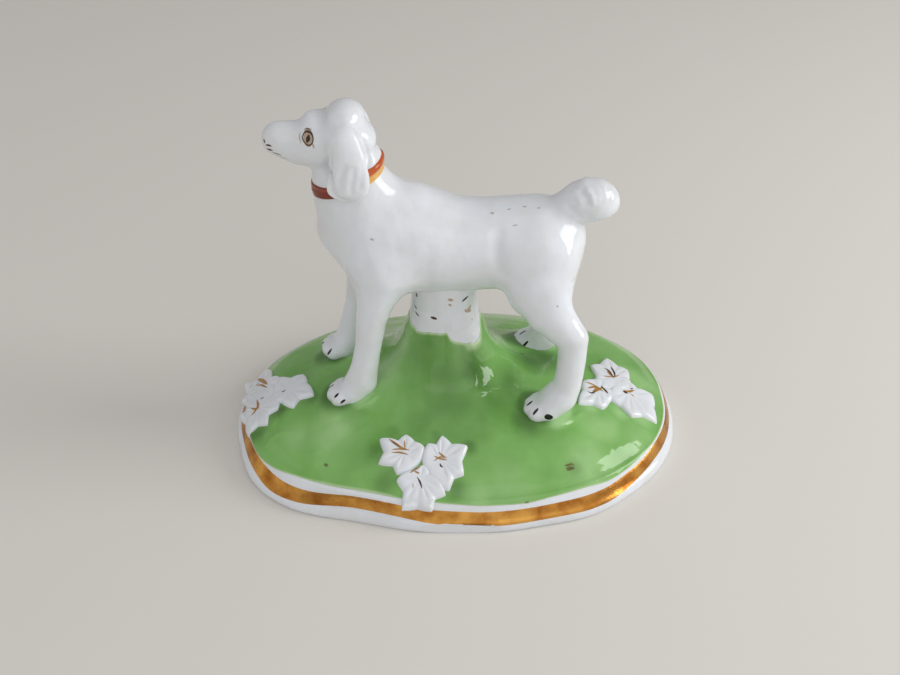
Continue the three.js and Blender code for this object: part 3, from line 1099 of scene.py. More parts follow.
@dataclass(frozen=True)
class Limb:
    """A leg that widens into a wedge-shaped paw.

    Attributes:
        node: CAD node that it stands for.
        girths: Cross-sections from the body to the toes.
        fillet: Slip fillet where it joins the torso.
        toe_turns: Bearings of the toes on the paw.
        right: Whether it is on the dog's right side.
    """

    node: str
    girths: tuple[Girth, ...]
    fillet: float
    toe_turns: tuple[float, ...] = (120, 156, 194, 234)
    right: bool = False

    def distance(self, points: np.ndarray) -> np.ndarray:
        """Distances to the limb.

        Args:
            points: Grid points, with their coordinates on the last axis.

        Returns:
            About the distance to its surface, negative inside.
        """
        x, y, z = np.moveaxis(points, -1, 0)
        y = -y if self.right else y
        form = np.full(x.shape, 20.0)
        for a, b in zip(self.girths[:-1], self.girths[1:]):
            run = np.array([b.x - a.x, b.y - a.y, b.z - a.z])
            along = (x - a.x) * run[0] + (y - a.y) * run[1] + (z - a.z) * run[2]
            along = np.clip(along / (run @ run), 0, 1)
            off = np.hypot(x - a.x - along * run[0], z - a.z - along * run[2])
            side = y - a.y - along * run[1]
            depth = a.depth + along * (b.depth - a.depth)
            width = a.width + along * (b.width - a.width)
            form = np.minimum(form, oval_distance(off, side, depth, width))
        return form

    def beside(self, spots: np.ndarray) -> np.ndarray:
        """How far places on the ground lie beside the paw, 0 under it.

        Args:
            spots: Places seen from above.

        Returns:
            A distance for each place.
        """
        side = -1 if self.right else 1
        ball, tip = (np.array([girth.x, side * girth.y]) for girth in self.girths[-2:])
        return np.maximum(path_distance(spots, np.array([ball, tip]), FAR_OFF)[0] - PAW_HALF, 0)

    def toes(self, points: np.ndarray) -> np.ndarray:
        """Distances to the toes at the end of the paw.

        Args:
            points: Places on the grid.

        Returns:
            A distance for each place.
        """
        x, y, z = np.moveaxis(points, -1, 0)
        y = -y if self.right else y
        ball, tip = self.girths[-2:]
        form = np.full(x.shape, FAR_OFF)
        for turn in np.radians(self.toe_turns):
            toe_x = (ball.x + tip.x) / 2 + TOE_SPREAD[0] * math.cos(turn)
            toe_y = tip.y + TOE_SPREAD[1] * math.sin(turn)
            off = np.sqrt((x - toe_x) ** 2 + (y - toe_y) ** 2 + (z - tip.z - TOE_RISE) ** 2)
            form = np.minimum(form, off - TOE_RADIUS)
        return form


def oval_distance(
    off: np.ndarray,
    side: np.ndarray,
    depth: np.ndarray,
    width: np.ndarray,
) -> np.ndarray:
    """About the distance to an oval.

    Args:
        off: Distance from its middle one way.
        side: Distance from its middle the other way.
        depth: Its half size the first way.
        width: Its half size the second way.

    Returns:
        Distances, negative inside.
    """
    near = np.sqrt((off / depth) ** 2 + (side / width) ** 2)
    slope = np.sqrt((off / depth**2) ** 2 + (side / width**2) ** 2)
    return near * (near - 1) / np.maximum(slope, 1e-6)


def foreleg(node: str, lean: float, reach: float, right: bool) -> Limb:
    """A foreleg.

    Args:
        node: CAD node that it stands for.
        lean: How far forward the whole leg stands.
        reach: How far its paw is put forward of that.
        right: Whether it is on the dog's right side.

    Returns:
        The limb.
    """
    return Limb(
        node,
        (
            Girth(-15.6 - lean, -8.0, 47.0, 6.2, 5.2),
            Girth(-17.0 - lean, -8.6, 41.5, 4.2, 4.2),
            Girth(-18.0 - lean, -9.0, 36.2, 3.4, 3.4),
            Girth(-18.9 - lean, -9.0, 29.4, 2.85, 2.9),
            Girth(-19.9 - lean, -9.0, 23.8, 3.0, 3.1),
            Girth(-21.0 - lean - 0.5 * reach, -8.9, 19.4, 3.6, 3.6),
            Girth(-23.0 - lean - reach, -8.8, 16.6, 3.1, 4.1),
            Girth(-25.5 - lean - reach, -8.7, 15.5, 2.2, 3.4),
        ),
        fillet=4.5,
        right=right,
    )


def hindleg(node: str, step: float, tuck: float, right: bool) -> Limb:
    """A hind leg.

    Args:
        node: CAD node that it stands for.
        step: How far its paw is put forward.
        tuck: How far its paw is put under the dog.
        right: Whether it is on the dog's right side.

    Returns:
        The limb.
    """
    return Limb(
        node,
        (
            Girth(18.0, -6.8, 47.6, 8.2, 4.8),
            Girth(18.5, -8.9, 43.6, 7.0, 4.6),
            Girth(20.4, -10.6, 39.6, 5.3, 4.2),
            Girth(23.0 - 0.4 * step, -11.4, 36.4, 4.2, 3.7),
            Girth(25.6 - 0.6 * step, -12.0, 33.4, 3.6, 3.3),
            Girth(25.8 - 0.7 * step, -12.5, 29.0, 3.15, 3.1),
            Girth(25.5 - 0.8 * step, -12.9 + 0.4 * tuck, 25.0, 3.05, 3.1),
            Girth(24.8 - 0.9 * step, -13.2 + 0.8 * tuck, 21.0, 3.2, 3.5),
            Girth(23.6 - step, -13.4 + tuck, 18.6, 3.8, 4.1),
            Girth(21.0 - step, -13.7 + tuck, 16.2, 3.2, 4.4),
            Girth(18.8 - step, -13.8 + tuck, 15.2, 2.3, 3.6),
        ),
        fillet=3.4,
        right=right,
    )


LIMBS = (
    foreleg("foreleg_left", 0.0, 0.0, False),
    foreleg("foreleg_right", 3.3, -0.7, True),
    hindleg("hindleg_left", 0.0, 0.0, False),
    hindleg("hindleg_right", 1.6, 2.8, True),
)
BODY_DENTS = (
    Dent((-26.0, 0.0, 47.5), (4.0, 7.0, 4.0), 1.0),
    Dent((-9.5, 0.0, 66.5), (5.0, 6.0, 5.0), -0.5),
)
BODY_GROOVES = (
    Groove(((500, 226), (496.5, 244), (498, 262), (505, 280)), 3.0, 0.45),
    Groove(((571, 282), (576, 283), (580, 284)), 1.2, 0.25),
    Groove(((585, 188), (591.6, 196), (594, 207)), 1.2, -0.3),
    Groove(((580, 189), (586.4, 197), (588.6, 208)), 1.4, 0.35),
    Groove(((566, 203), (573, 211), (582, 217), (592, 220)), 1.7, 0.4),
    Groove(((600, 184), (602.6, 194), (602, 206)), 1.2, 0.1),
    Groove(((607.6, 184), (609.6, 194), (608.4, 206)), 1.0, 0.09),
    Groove(((571, 190), (578, 198), (581, 208)), 1.4, -0.16),
)
CLAWS = (
    Stroke(Paint.BLACK, ((328.6, 388.4), (331, 386.3), (333.4, 384.6)), 0.68, 0.4),
    Stroke(Paint.BLACK, ((334.6, 397.4), (336.5, 395.4), (338.4, 393.6)), 0.72, 0.4),
    Stroke(Paint.BLACK, ((340.6, 403.4), (343, 401.3), (345.4, 399.6)), 0.72, 0.4),
    Stroke(Paint.BLACK, ((320.6, 345.4), (322.2, 343.6), (324, 342)), 0.66, 0.4),
    Stroke(Paint.BLACK, ((327.6, 354.4), (329.6, 351.8), (331.4, 349)), 0.72, 0.4),
    Stroke(Paint.BLACK, ((527, 405.4), (530, 403), (532.4, 401)), 0.7, 0.4),
    Stroke(Paint.BLACK, ((533.2, 414.4), (535.6, 411.4), (538, 408.6)), 0.74, 0.4),
    Stroke(Paint.BLACK, ((519.6, 334.4), (523, 332.2), (526, 330.8)), 0.66, 0.4),
    Stroke(Paint.BLACK, ((523, 346.4), (525.3, 344), (527.4, 341.6)), 0.8, 0.3),
    Stroke(Paint.BLACK, ((548, 417.2), (549.4, 417.8)), 1.75, 0.0),
)
BACK_SPECKS = (
    Stroke(Paint.SPECK, ((491, 213), (493.4, 213.2)), 0.7, 0.3),
    Stroke(Paint.SPECK, ((507.6, 209.4), (510.4, 209)), 0.45, 0.3),
    Stroke(Paint.SPECK, ((523.4, 206.8), (526, 206.4)), 0.55, 0.3),
    Stroke(Paint.SPECK, ((537.6, 208), (540, 207.8)), 0.45, 0.3),
    Stroke(Paint.SPECK, ((513, 225.6), (517, 225)), 0.4, 0.3),
    Stroke(Paint.SPECK, ((557, 306), (558, 306.6)), 0.5, 0.2),
    Stroke(Paint.SPECK, ((370.6, 239), (373.4, 240)), 0.5, 0.3),
)


@dataclass
class DogBody:
    """Torso, legs and tail under one glaze.

    Attributes:
        step: Grid spacing of the clay.
        trunk_round: Rounding of the torso.
        limb_round: Rounding of the legs and tail.
        tail_fillet: Slip fillet where the tail joins.
        toe_fillet: Fillet round the toes.
        last_round: Rounding after joining.
        curl_end: X at which the curly coat of the front ends.
        curl_height: Height of the curls.
        coat_height: Height of the lumps elsewhere.
    """

    step: float = 0.56
    trunk_round: float = 1.6
    limb_round: float = 0.7
    tail_fillet: float = 1.7
    toe_fillet: float = 1.4
    last_round: float = 0.55
    curl_end: float = 0.0
    curl_height: float = 0.2
    coat_height: float = 0.15

    def clay(self, trunk: Trunk, plane: CollarPlane) -> Skin:
        """Joins the solids and draws their skin.

        Args:
            trunk: Torso and head as one surface.
            plane: Where the neck ends.

        Returns:
            The smooth skin.
        """
        boxes = [node_box(name) for name in (*TRUNK_NODES[:2], *LEG_NODES, "tail")]
        low = np.min([box[0] for box in boxes], axis=0) - 3
        high = np.max([box[1] for box in boxes], axis=0) + 3
        grid = Clay(low, high, self.step)
        form = grid.softened(grid.distance(trunk.tree, low, high), self.trunk_round)
        spots = grid.points()
        for limb in LIMBS:
            leg = np.clip(limb.distance(spots), -grid.reach, grid.reach)
            leg = smooth_union(grid.softened(leg, self.limb_round), limb.toes(spots), self.toe_fillet)
            form = smooth_union(form, leg, limb.fillet)
        tail = grid.softened(grid.solid("tail"), self.limb_round)
        form = smooth_union(form, tail, self.tail_fillet)
        form = grid.softened(form, self.last_round)
        return grid.skin(np.maximum(form, plane.above(spots) - plane.overlap))

    def build(self, trunk: Trunk, plane: CollarPlane, camera: PhotoCamera) -> Skin:
        """Models, paints and dresses the body.

        Args:
            trunk: The joined torso and head.
            plane: Where the collar parts body and head.
            camera: The camera that saw the figurine.

        Returns:
            The body's skin.
        """
        skin = self.clay(trunk, plane)
        curly = smooth_step(self.curl_end + 6, self.curl_end - 6, skin.points[:, 0])
        hang = skin.points * np.array([1.0, 1.0, 0.6])
        curls = lumps(hang, 4.6, 3.0) + 0.4 * lumps(hang, 2.2, 7.0)
        coat = lumps(skin.points, 8.0, 11.0)
        skin.raise_by(self.curl_height * curls * curly + self.coat_height * coat)
        skin.raise_by(sum(dent.lift(skin.points) for dent in BODY_DENTS))
        skin.tool(BODY_GROOVES, camera, True)
        skin.brush(CLAWS + BACK_SPECKS, camera, False)
        nodes = (*TRUNK_NODES[:2], *LEG_NODES, "tail")
        skin.build("body_legs_tail", WHITE_GLAZE.material(), Slot.PORCELAIN, *nodes)
        return skin


HEAD_DENTS = (
    Dent((-30.4, 0.0, 81.6), (1.6, 6.0, 1.8), -0.35),
    Dent((-27.2, 0.0, 83.2), (1.6, 8.0, 2.6), 1.3),
    Dent((-15.6, 0.0, 74.2), (4.0, 9.0, 4.6), -1.4),
)
HEAD_GROOVES = (
    Groove(((331.6, 146), (330, 160), (330, 176), (332, 188), (337, 197)), 1.3, 0.4),
    Groove(
        ((328.4, 158), (327.2, 168), (327.2, 180), (328.8, 190), (334, 198), (342, 201.4), (352, 202)),
        2.0, 0.85,
    ),
    Groove(((347, 164), (342, 174), (339, 186), (339.5, 196)), 1.6, 0.3),
    Groove(((354, 166), (353, 180), (350, 196)), 1.5, 0.24),
    Groove(((361, 135), (365.5, 146), (368.5, 158), (368, 172)), 1.3, 0.3),
    Groove(((363, 160), (362, 176), (358, 192)), 1.5, 0.18),
    Groove(((300.5, 131), (299, 137), (300.5, 144)), 1.2, 0.16),
    Groove(((267, 151), (272, 154), (279, 157), (286, 160.5), (291, 162.5)), 0.8, 0.28),
    Groove(((273, 139), (270, 143), (267, 146)), 1.2, 0.15),
)
EYE_RIM = (
    (303, 135.2), (304.3, 132.6), (307, 131.4), (310, 132.2), (312, 134.6), (313, 138), (312.6, 142),
    (310.5, 145), (307.5, 145), (304.8, 142.8), (302.8, 139.5), (302.2, 137), (303, 135.2),
)
FACE = (
    Stroke(Paint.WASH_AND_SHADE, ((306.8, 133.6), (307.6, 138), (308, 143)), 2.5, 0.3),
    Stroke(Paint.WASH_AND_SHADE, ((304.6, 130.3), (307.6, 129.6), (311, 130.8)), 0.5, 0.4),
    Stroke(Paint.BROWN, ((304.2, 129.4), (307, 128.3), (311.4, 129.6)), 0.3, 0.5),
    # Painted shade: a thin tan line along the back of the eye socket, where its shadow falls.
    Stroke(Paint.WASH_AND_SHADE, ((300.4, 132), (299.4, 137), (301, 143)), 0.36, 0.5),
    Stroke(Paint.WASH_AND_SHADE, ((312.6, 143.5), (313.2, 145.5), (313.8, 148)), 0.5, 0.4),
    Stroke(Paint.BROWN, EYE_RIM, 0.38, 0.0),
    Stroke(Paint.BROWN, EYE_RIM[:6], 0.62, 0.6),
    Stroke(Paint.BROWN, ((308.6, 136), (308, 139), (307.2, 141.4)), 1.15, 0.4),
    Stroke(Paint.BLACK, ((308.3, 137.4), (307.9, 139.2), (307.4, 140.4)), 0.8, 0.3),
    Stroke(Paint.BROWN, ((263.8, 139.4), (264.2, 141), (264.8, 142.6)), 0.62, 0.4),
    Stroke(Paint.BROWN, ((265.8, 145), (268.4, 145.2), (271.4, 146.2)), 0.5, 0.5),
    Stroke(Paint.BROWN, ((267.2, 148.8), (269.4, 149.6), (272.4, 150.4)), 0.62, 0.5),
    Stroke(Paint.BROWN, ((272, 152), (276.4, 153.6), (282, 155.4)), 0.4, 0.7),
    Stroke(Paint.WASH_AND_SHADE, ((278, 155.6), (283, 157.4), (290, 160)), 0.3, 0.6),
)


@dataclass
class DogHead:
    """Head and ears under one glaze.

    Attributes:
        step: Grid spacing of the clay.
        skull_round: Rounding of the skull.
        ear_round: Rounding of the ears.
        root_fillet: Slip fillet at the root of an ear.
        tip_fillet: Slip fillet at its tip.
        last_round: Rounding after joining.
    """

    step: float = 0.32
    skull_round: float = 0.9
    ear_round: float = 0.5
    root_fillet: float = 4.2
    tip_fillet: float = 0.8
    last_round: float = 0.35

    def clay(self, trunk: Trunk, plane: CollarPlane) -> Skin:
        """Joins the head and ears and draws their skin.

        Args:
            trunk: Torso and head as one surface.
            plane: Where the neck begins.

        Returns:
            The smooth skin.
        """
        boxes = [node_box(name) for name in ("head", *EAR_NODES)]
        low = np.min([box[0] for box in boxes], axis=0) - 2
        high = np.max([box[1] for box in boxes], axis=0) + 2
        grid = Clay(low, high, self.step)
        spots = grid.points()
        form = grid.softened(grid.distance(trunk.tree, low, high), self.skull_round)
        form = np.maximum(form, -plane.above(spots) - plane.overlap)
        for name in EAR_NODES:
            ear_low, ear_high = node_box(name)
            ear = grid.softened(grid.solid(name), self.ear_round)
            rise = smooth_step(ear_low[2] + 0.45 * (ear_high[2] - ear_low[2]), ear_high[2], spots[..., 2])
            form = smooth_union(form, ear, self.tip_fillet + rise * (self.root_fillet - self.tip_fillet))
        return grid.skin(grid.softened(form, self.last_round))

    def build(self, trunk: Trunk, plane: CollarPlane, camera: PhotoCamera) -> Skin:
        """Models, paints and dresses the head.

        Args:
            trunk: The joined torso and head.
            plane: Where the collar parts body and head.
            camera: The camera that saw the figurine.

        Returns:
            The head's skin.
        """
        skin = self.clay(trunk, plane)
        skin.raise_by(0.1 * lumps(skin.points, 5.0, 21.0))
        free = smooth_step(-1.2, 0.8, plane.above(skin.points))
        skin.raise_by(free * sum(dent.lift(skin.points) for dent in HEAD_DENTS))
        skin.tool(HEAD_GROOVES, camera, True)
        skin.brush(FACE, camera, True)
        skin.build("head_and_ears", WHITE_GLAZE.material(), Slot.PORCELAIN, "head", *EAR_NODES)
        return skin


@dataclass
class Collar:
    """A painted ribbon round the neck.

    Attributes:
        width: Width of the ribbon.
        thickness: How far it stands off the neck.
        slack: How far the coat may lie outside the bare neck.
        ear_gap: Room for the ribbon under the ears.
        clear: A distance from the neck's middle that is well outside it.
        corners: Points round the neck.
        rows: Points across the ribbon.
        neck_round: Rounding of the neck under it.
        step: Grid spacing of that neck.
    """

    width: float = 2.6
    thickness: float = 0.5
    slack: float = 5.0
    ear_gap: float = 1.4
    clear: float = 14.0
    corners: int = 120
    rows: int = 11
    neck_round: float = 1.2
    step: float = 0.5

    def neck(self, trunk: Trunk) -> BVHTree:
        """The bare neck, without ears, as a search tree.

        Args:
            trunk: The joined torso and head.

        Returns:
            The tree, in millimetres.
        """
        low, high = node_box("collar")
        grid = Clay(low - 4, high + 4, self.step)
        return grid.skin(grid.softened(grid.distance(trunk.tree, low, high), self.neck_round)).tree()

    def build(self, trunk: Trunk, plane: CollarPlane, body: Skin, head: Skin) -> bpy.types.Object:
        """Wraps the ribbon round the neck.

        Args:
            trunk: Torso and head as one surface.
            plane: Where the ribbon lies.
            body: Skin below the ribbon.
            head: Skin above it, with ears that hang over the ribbon.

        Returns:
            The ribbon.
        """
        neck = self.neck(trunk)
        below, above = body.tree(), head.tree()
        centre, axis = plane.centre(), plane.axis()
        side = np.array([0.0, 1.0, 0.0])
        back = np.cross(side, axis)
        turns = np.linspace(0, FULL_TURN, self.corners, endpoint=False)
        outs = [back * math.cos(turn) + side * math.sin(turn) for turn in turns]
        wide = self.width * (1 + 0.2 * smooth_step(0, 0.8, np.cos(turns)))
        rows = np.linspace(0.5, -0.5, self.rows)
        rings = []
        for row in rows:
            swell = self.thickness * math.sqrt(max(1 - (2 * row) ** 4, 0)) - 0.05
            starts = centre + axis * (row * wide)[:, None]
            radii = []
            for start, out, offset in zip(map(Vector, starts), map(Vector, outs), row * wide):
                bare = self.clear - neck.ray_cast(start + out * self.clear, -out)[3]
                reaches = [bare - 0.3]
                for tree, touches, slack in (
                    (above, offset > -plane.overlap, self.ear_gap),
                    (below, offset < plane.overlap, self.slack),
                ):
                    found = tree.ray_cast(start + out * (bare + slack), -out, slack + 1)[3]
                    if touches and found is not None:
                        reaches.append(bare + slack - found)
                radii.append(max(reaches))
            radii = ring_average(np.array(radii), 1, 3)
            rings.append(starts + np.array(outs) * (radii + swell)[:, None])
        skin = Skin.loft(rings)
        bearing = np.tile(np.cos(turns), self.rows)
        height = np.repeat(rows, self.corners)
        # Darker towards the front, lightened along a painted highlight line near the upper edge; the pale gold
        # towards the back of the lower half is gilding with a painted highlight on the side facing the window lamp.
        skin.marks["dark"] = smooth_step(0.35, -0.3, bearing) * (1 - 0.5 * np.exp(-(((height - 0.3) / 0.1) ** 2)))
        skin.marks["gold"] = smooth_step(0.1, 0.7, bearing) * smooth_step(0.15, -0.1, height)
        return skin.build("collar_ribbon", RED_GLAZE.material(), Slot.RED, "collar")


BARK_FLECKS = (
    Stroke(Paint.BROWN, ((416.4, 293.4), (416.8, 296.6)), 0.6, 0.4),
    Stroke(Paint.BROWN, ((462.6, 301.2), (465, 299), (467.8, 296.4)), 0.75, 0.4),
    Stroke(Paint.WASH_AND_SHADE, ((413.2, 300), (413.8, 302.4)), 0.5, 0.4),
    Stroke(Paint.BROWN, ((414.5, 304.5), (415.6, 307), (416.6, 309.2)), 0.5, 0.5),
    Stroke(Paint.BROWN, ((415, 311), (417, 314), (419.2, 316.6)), 0.5, 0.6),
    Stroke(Paint.BROWN, ((431.6, 317.4), (433.6, 318), (436, 318.8)), 0.8, 0.3),
    Stroke(Paint.WASH_AND_SHADE, ((449.2, 304.4), (450, 305), (451, 305.6)), 0.7, 0.3),
    Stroke(Paint.WASH_AND_SHADE, ((448.6, 299.5), (450.4, 300), (452.4, 300.4)), 0.9, 0.4),
    Stroke(Paint.WASH_AND_SHADE, ((470.8, 305.4), (469.4, 308), (467, 310.6)), 1.0, 0.5),
    Stroke(Paint.WASH_AND_SHADE, ((465, 310.4), (467.4, 310.8), (470.6, 310.4)), 0.9, 0.4),
    Stroke(Paint.WASH_AND_SHADE, ((472, 318.8), (472.2, 320)), 0.4, 0.2),
)


@dataclass(frozen=True)
class PoolAndShade:
    """A patch of the green enamel: pooled glaze with painted shade, or, where the depth is negative, thin glaze with
    painted highlight.

    Attributes:
        pixel: Its middle in the photograph.
        reach: Its reach over the ground.
        depth: How far it darkens or pales the green.
    """

    pixel: tuple[float, float]
    reach: float
    depth: float


# Darker patches are pooled enamel together with painted shade round the paws, stump and leaves; paler ones are thin
# enamel together with painted highlight.
POOLS_AND_SHADES = (
    PoolAndShade((528, 422), 4.5, 0.9), PoolAndShade((538, 360), 6.0, 1.0), PoolAndShade((514, 340), 4.0, 0.8),
    PoolAndShade((470, 364), 6.0, 0.6), PoolAndShade((440, 372), 9.0, 0.5), PoolAndShade((455, 398), 13.0, 0.5),
    PoolAndShade((510, 384), 7.0, 0.5), PoolAndShade((500, 412), 9.0, 0.35), PoolAndShade((425, 420), 9.0, 0.4),
    PoolAndShade((374, 452), 2.5, 0.7), PoolAndShade((386, 482), 3.5, 0.6), PoolAndShade((470, 440), 8.0, 0.35),
    PoolAndShade((280, 411), 2.5, 0.7), PoolAndShade((256, 436), 3.0, 0.6), PoolAndShade((312, 398), 3.0, 0.6),
    PoolAndShade((392, 322), 3.0, 0.5), PoolAndShade((402, 350), 4.0, -0.6), PoolAndShade((480, 500), 5.0, -0.5),
    PoolAndShade((592, 409), 3.0, -0.7), PoolAndShade((620, 413), 3.0, -0.6), PoolAndShade((642, 420), 3.0, -0.6),
    PoolAndShade((470, 448), 2.6, 0.7), PoolAndShade((456, 488), 2.6, 0.6), PoolAndShade((394, 431), 2.2, 0.5), PoolAndShade((436, 434), 2.2, 0.5),
    PoolAndShade((575, 470), 2.5, 0.4), PoolAndShade((510, 484), 8.0, -0.35), PoolAndShade((300, 437), 5.0, -0.45),
    PoolAndShade((345, 355), 4.0, -0.5), PoolAndShade((460, 345), 2.4, -0.7), PoolAndShade((640, 385), 6.0, -0.6),
    PoolAndShade((600, 425), 5.5, -0.7), PoolAndShade((332, 430), 6.0, -0.8), PoolAndShade((365, 395), 3.5, -0.7),
    PoolAndShade((594, 470), 8.0, -0.55), PoolAndShade((640, 442), 7.0, -0.45), PoolAndShade((385, 372), 5.0, -0.8),
)
GROUND_RIDGES = (
    Groove(((265, 448), (273, 437), (285, 432.6), (302, 436)), 1.0, -0.3),
    Groove(((263, 436), (272, 426), (279, 415), (296, 411)), 1.0, -0.25),
    Groove(((318, 405), (322, 413), (330, 417), (341, 417)), 0.9, -0.3),
    Groove(((313, 359), (317, 367), (327, 371), (339, 371)), 0.9, -0.3),
    Groove(((355, 408), (369, 402), (379, 394)), 1.0, -0.35),
    Groove(((556, 425), (570, 420), (584, 411)), 1.0, -0.35),
    Groove(((497, 336), (503, 347), (514, 354), (530, 357)), 1.4, -0.35),
    Groove(((470, 395), (500, 388), (520, 396)), 1.6, -0.25),
)
GROUND_SPECKS = (
    Stroke(Paint.BROWN, ((325.6, 464.6), (326.6, 465.4)), 0.9, 0.0),
    Stroke(Paint.BROWN, ((526.6, 502.6), (527.6, 503.2)), 0.9, 0.0),
    Stroke(Paint.BROWN, ((565, 466.4), (568, 465), (571, 464.6)), 0.8, 0.4),
    Stroke(Paint.BROWN, ((567, 470), (570, 468.4), (574, 468)), 1.1, 0.4),
    Stroke(Paint.BROWN, ((570, 462.6), (573, 464), (575, 466)), 0.5, 0.4),
)


@dataclass
class Mound:
    """The oval base, its green ground and the stump.

    Attributes:
        squareness: Power of the oval outline.
        rim_inset: How far the rim lies inside the foot.
        rim_top: Height of the rim.
        rise: Height of the dome above the rim.
        fullness: How full the dome is.
        flare_rise: Height that the ground climbs at the stump.
        flare_spread: Distance over which it falls off.
        flare_width: Distance over which the flare is drawn in circles.
        stump_foot: Radius of the stump at its foot.
        stump_top: Radius of the stump under the belly.
        tuck: How far the stump runs up into the belly.
        skin: Thickness of slip and glaze over the clay.
        wall_scale: Distance down the wall for each unit of path beyond the rim.
        roots: Bearings of the roots that run out under the green.
        root_height: Their height.
        root_width: How far a root reaches to each side.
        root_run: How far it runs out.
        paw_swell: Height to which the ground is pushed up round a paw.
        paw_reach: How far that swelling reaches.
        hills: Height, size and seed of each unevenness of the ground.
        foot_ring: How far inside the outline the foot ring ends.
        lip: How far the hollow's lip slopes inwards.
        lip_height: Height of that slope.
        dome_wall: Thickness of the dome over the hollow.
        seat_wall: Thickness of the ground under the stump.
        gold_edges: Heights of the gold line's lower and upper edge.
        gold_coat: Thickness of the gold.
        corners: Points round the base.
        wall: Insets and heights of the outer wall, from the rim to the foot.
        widest: Number of the wall's outermost point.
    """

    squareness: float = 2.2
    rim_inset: float = 3.2
    rim_top: float = 7.0
    rise: float = 9.5
    fullness: float = 2.4
    flare_rise: float = 12.3
    flare_spread: float = 3.6
    flare_width: float = 9.0
    stump_foot: float = 8.8
    stump_top: float = 7.2
    tuck: float = 1.2
    skin: float = 0.55
    wall_scale: float = 10.0
    roots: tuple[float, ...] = (-150, -62, 4, 95, 150)
    root_height: float = 0.8
    root_width: float = 3.2
    root_run: float = 11.0
    paw_swell: float = 0.35
    paw_reach: float = 1.6
    hills: tuple[tuple[float, float, float], ...] = ((0.9, 17.0, 5.0), (0.35, 7.0, 9.0))
    foot_ring: float = 3.4
    lip: float = 3.2
    lip_height: float = 3.6
    dome_wall: float = 4.2
    seat_wall: float = 5.0
    gold_edges: tuple[float, float] = (3.35, 5.95)
    gold_coat: float = 0.07
    corners: int = 480
    wall: tuple[tuple[float, float], ...] = (
        (3.2, 7.0), (2.62, 6.78), (2.1, 6.0), (1.5, 4.65), (0.9, 3.3),
        (0.25, 2.4), (0.0, 1.4), (0.1, 0.5), (0.45, 0.03), (1.0, 0.0),
    )
    widest: int = 6

    def __post_init__(self) -> None:
        """Takes the outline and the stump's place from the frame."""
        low, high = node_box("base_shell")
        self.half = (high - low)[:2] / 2
        low, high = node_box("stump")
        self.middle = np.array([(low[0] + high[0]) / 2, 0.0])
        self.stump_high = high[2]
        self.turns = np.linspace(0, FULL_TURN, self.corners, endpoint=False)
        self.circle = np.stack([np.cos(self.turns), np.sin(self.turns)], axis=1)
        self.shift = self.hand_shift()
        self.foot_shift = self.hand_cut_foot()
        self.rim = self.oval(self.rim_inset)
        self.seat = self.height(self.middle[None] + [self.stump_foot, 0.0])[0]

    def by_turn(self, knots: tuple[tuple[float, float], ...], rounds: int) -> np.ndarray:
        """A value at each turn, read from the listed knots.

        Args:
            knots: Turns in degrees and values, from 0 to 360.
            rounds: How often neighbours are averaged.

        Returns:
            Values, one for each turn.
        """
        return ring_average(np.interp(np.degrees(self.turns), *np.array(knots).T), 2, rounds)

    def hand_shift(self) -> np.ndarray:
        """How far the hand-pressed outline falls inside a true oval at each turn.

        Returns:
            One distance for each turn.
        """
        return self.by_turn((
            (0, 0.1), (45, 0.0), (90, 0.6), (118, 1.6), (140, 2.2), (160, 1.9), (180, 1.1), (200, 0.8),
            (215, 0.0), (230, -0.7), (250, -0.3), (270, 0.0), (300, 0.3), (320, 0.5), (345, 0.2), (360, 0.1),
        ), 12)

    def hand_cut_foot(self) -> np.ndarray:
        """How much further the foot falls inside the oval than the rim does at each turn.

        Returns:
            One distance for each turn.
        """
        return self.by_turn((
            (0, 0.1), (90, 0.0), (180, -0.2), (195, 0.1), (203, -0.5), (211, -1.3), (221, -1.5), (231, -0.9),
            (239, 0.1), (246, 1.0), (253, 0.8), (261, 0.0), (267, -0.4), (280, -0.7), (289, -0.4), (295, -0.7),
            (302, -1.2), (309, -0.9), (316, -0.2), (335, 0.1), (360, 0.1),
        ), 5)

    def oval(self, inset: np.ndarray | float) -> np.ndarray:
        """Outline of the base, set in by a distance.

        Args:
            inset: The distance, or one for each turn.

        Returns:
            X and Y, one row for each turn.
        """
        inset = inset + self.shift + self.foot_shift * np.clip(1 - inset / self.rim_inset, 0, 1)
        cos, sin = np.cos(self.turns), np.sin(self.turns)
        power = 2 / self.squareness
        x = (self.half[0] - inset) * np.sign(cos) * np.abs(cos) ** power
        y = (self.half[1] - inset) * np.sign(sin) * np.abs(sin) ** power
        return np.clip(np.stack([x, y], axis=1), -self.half, self.half)

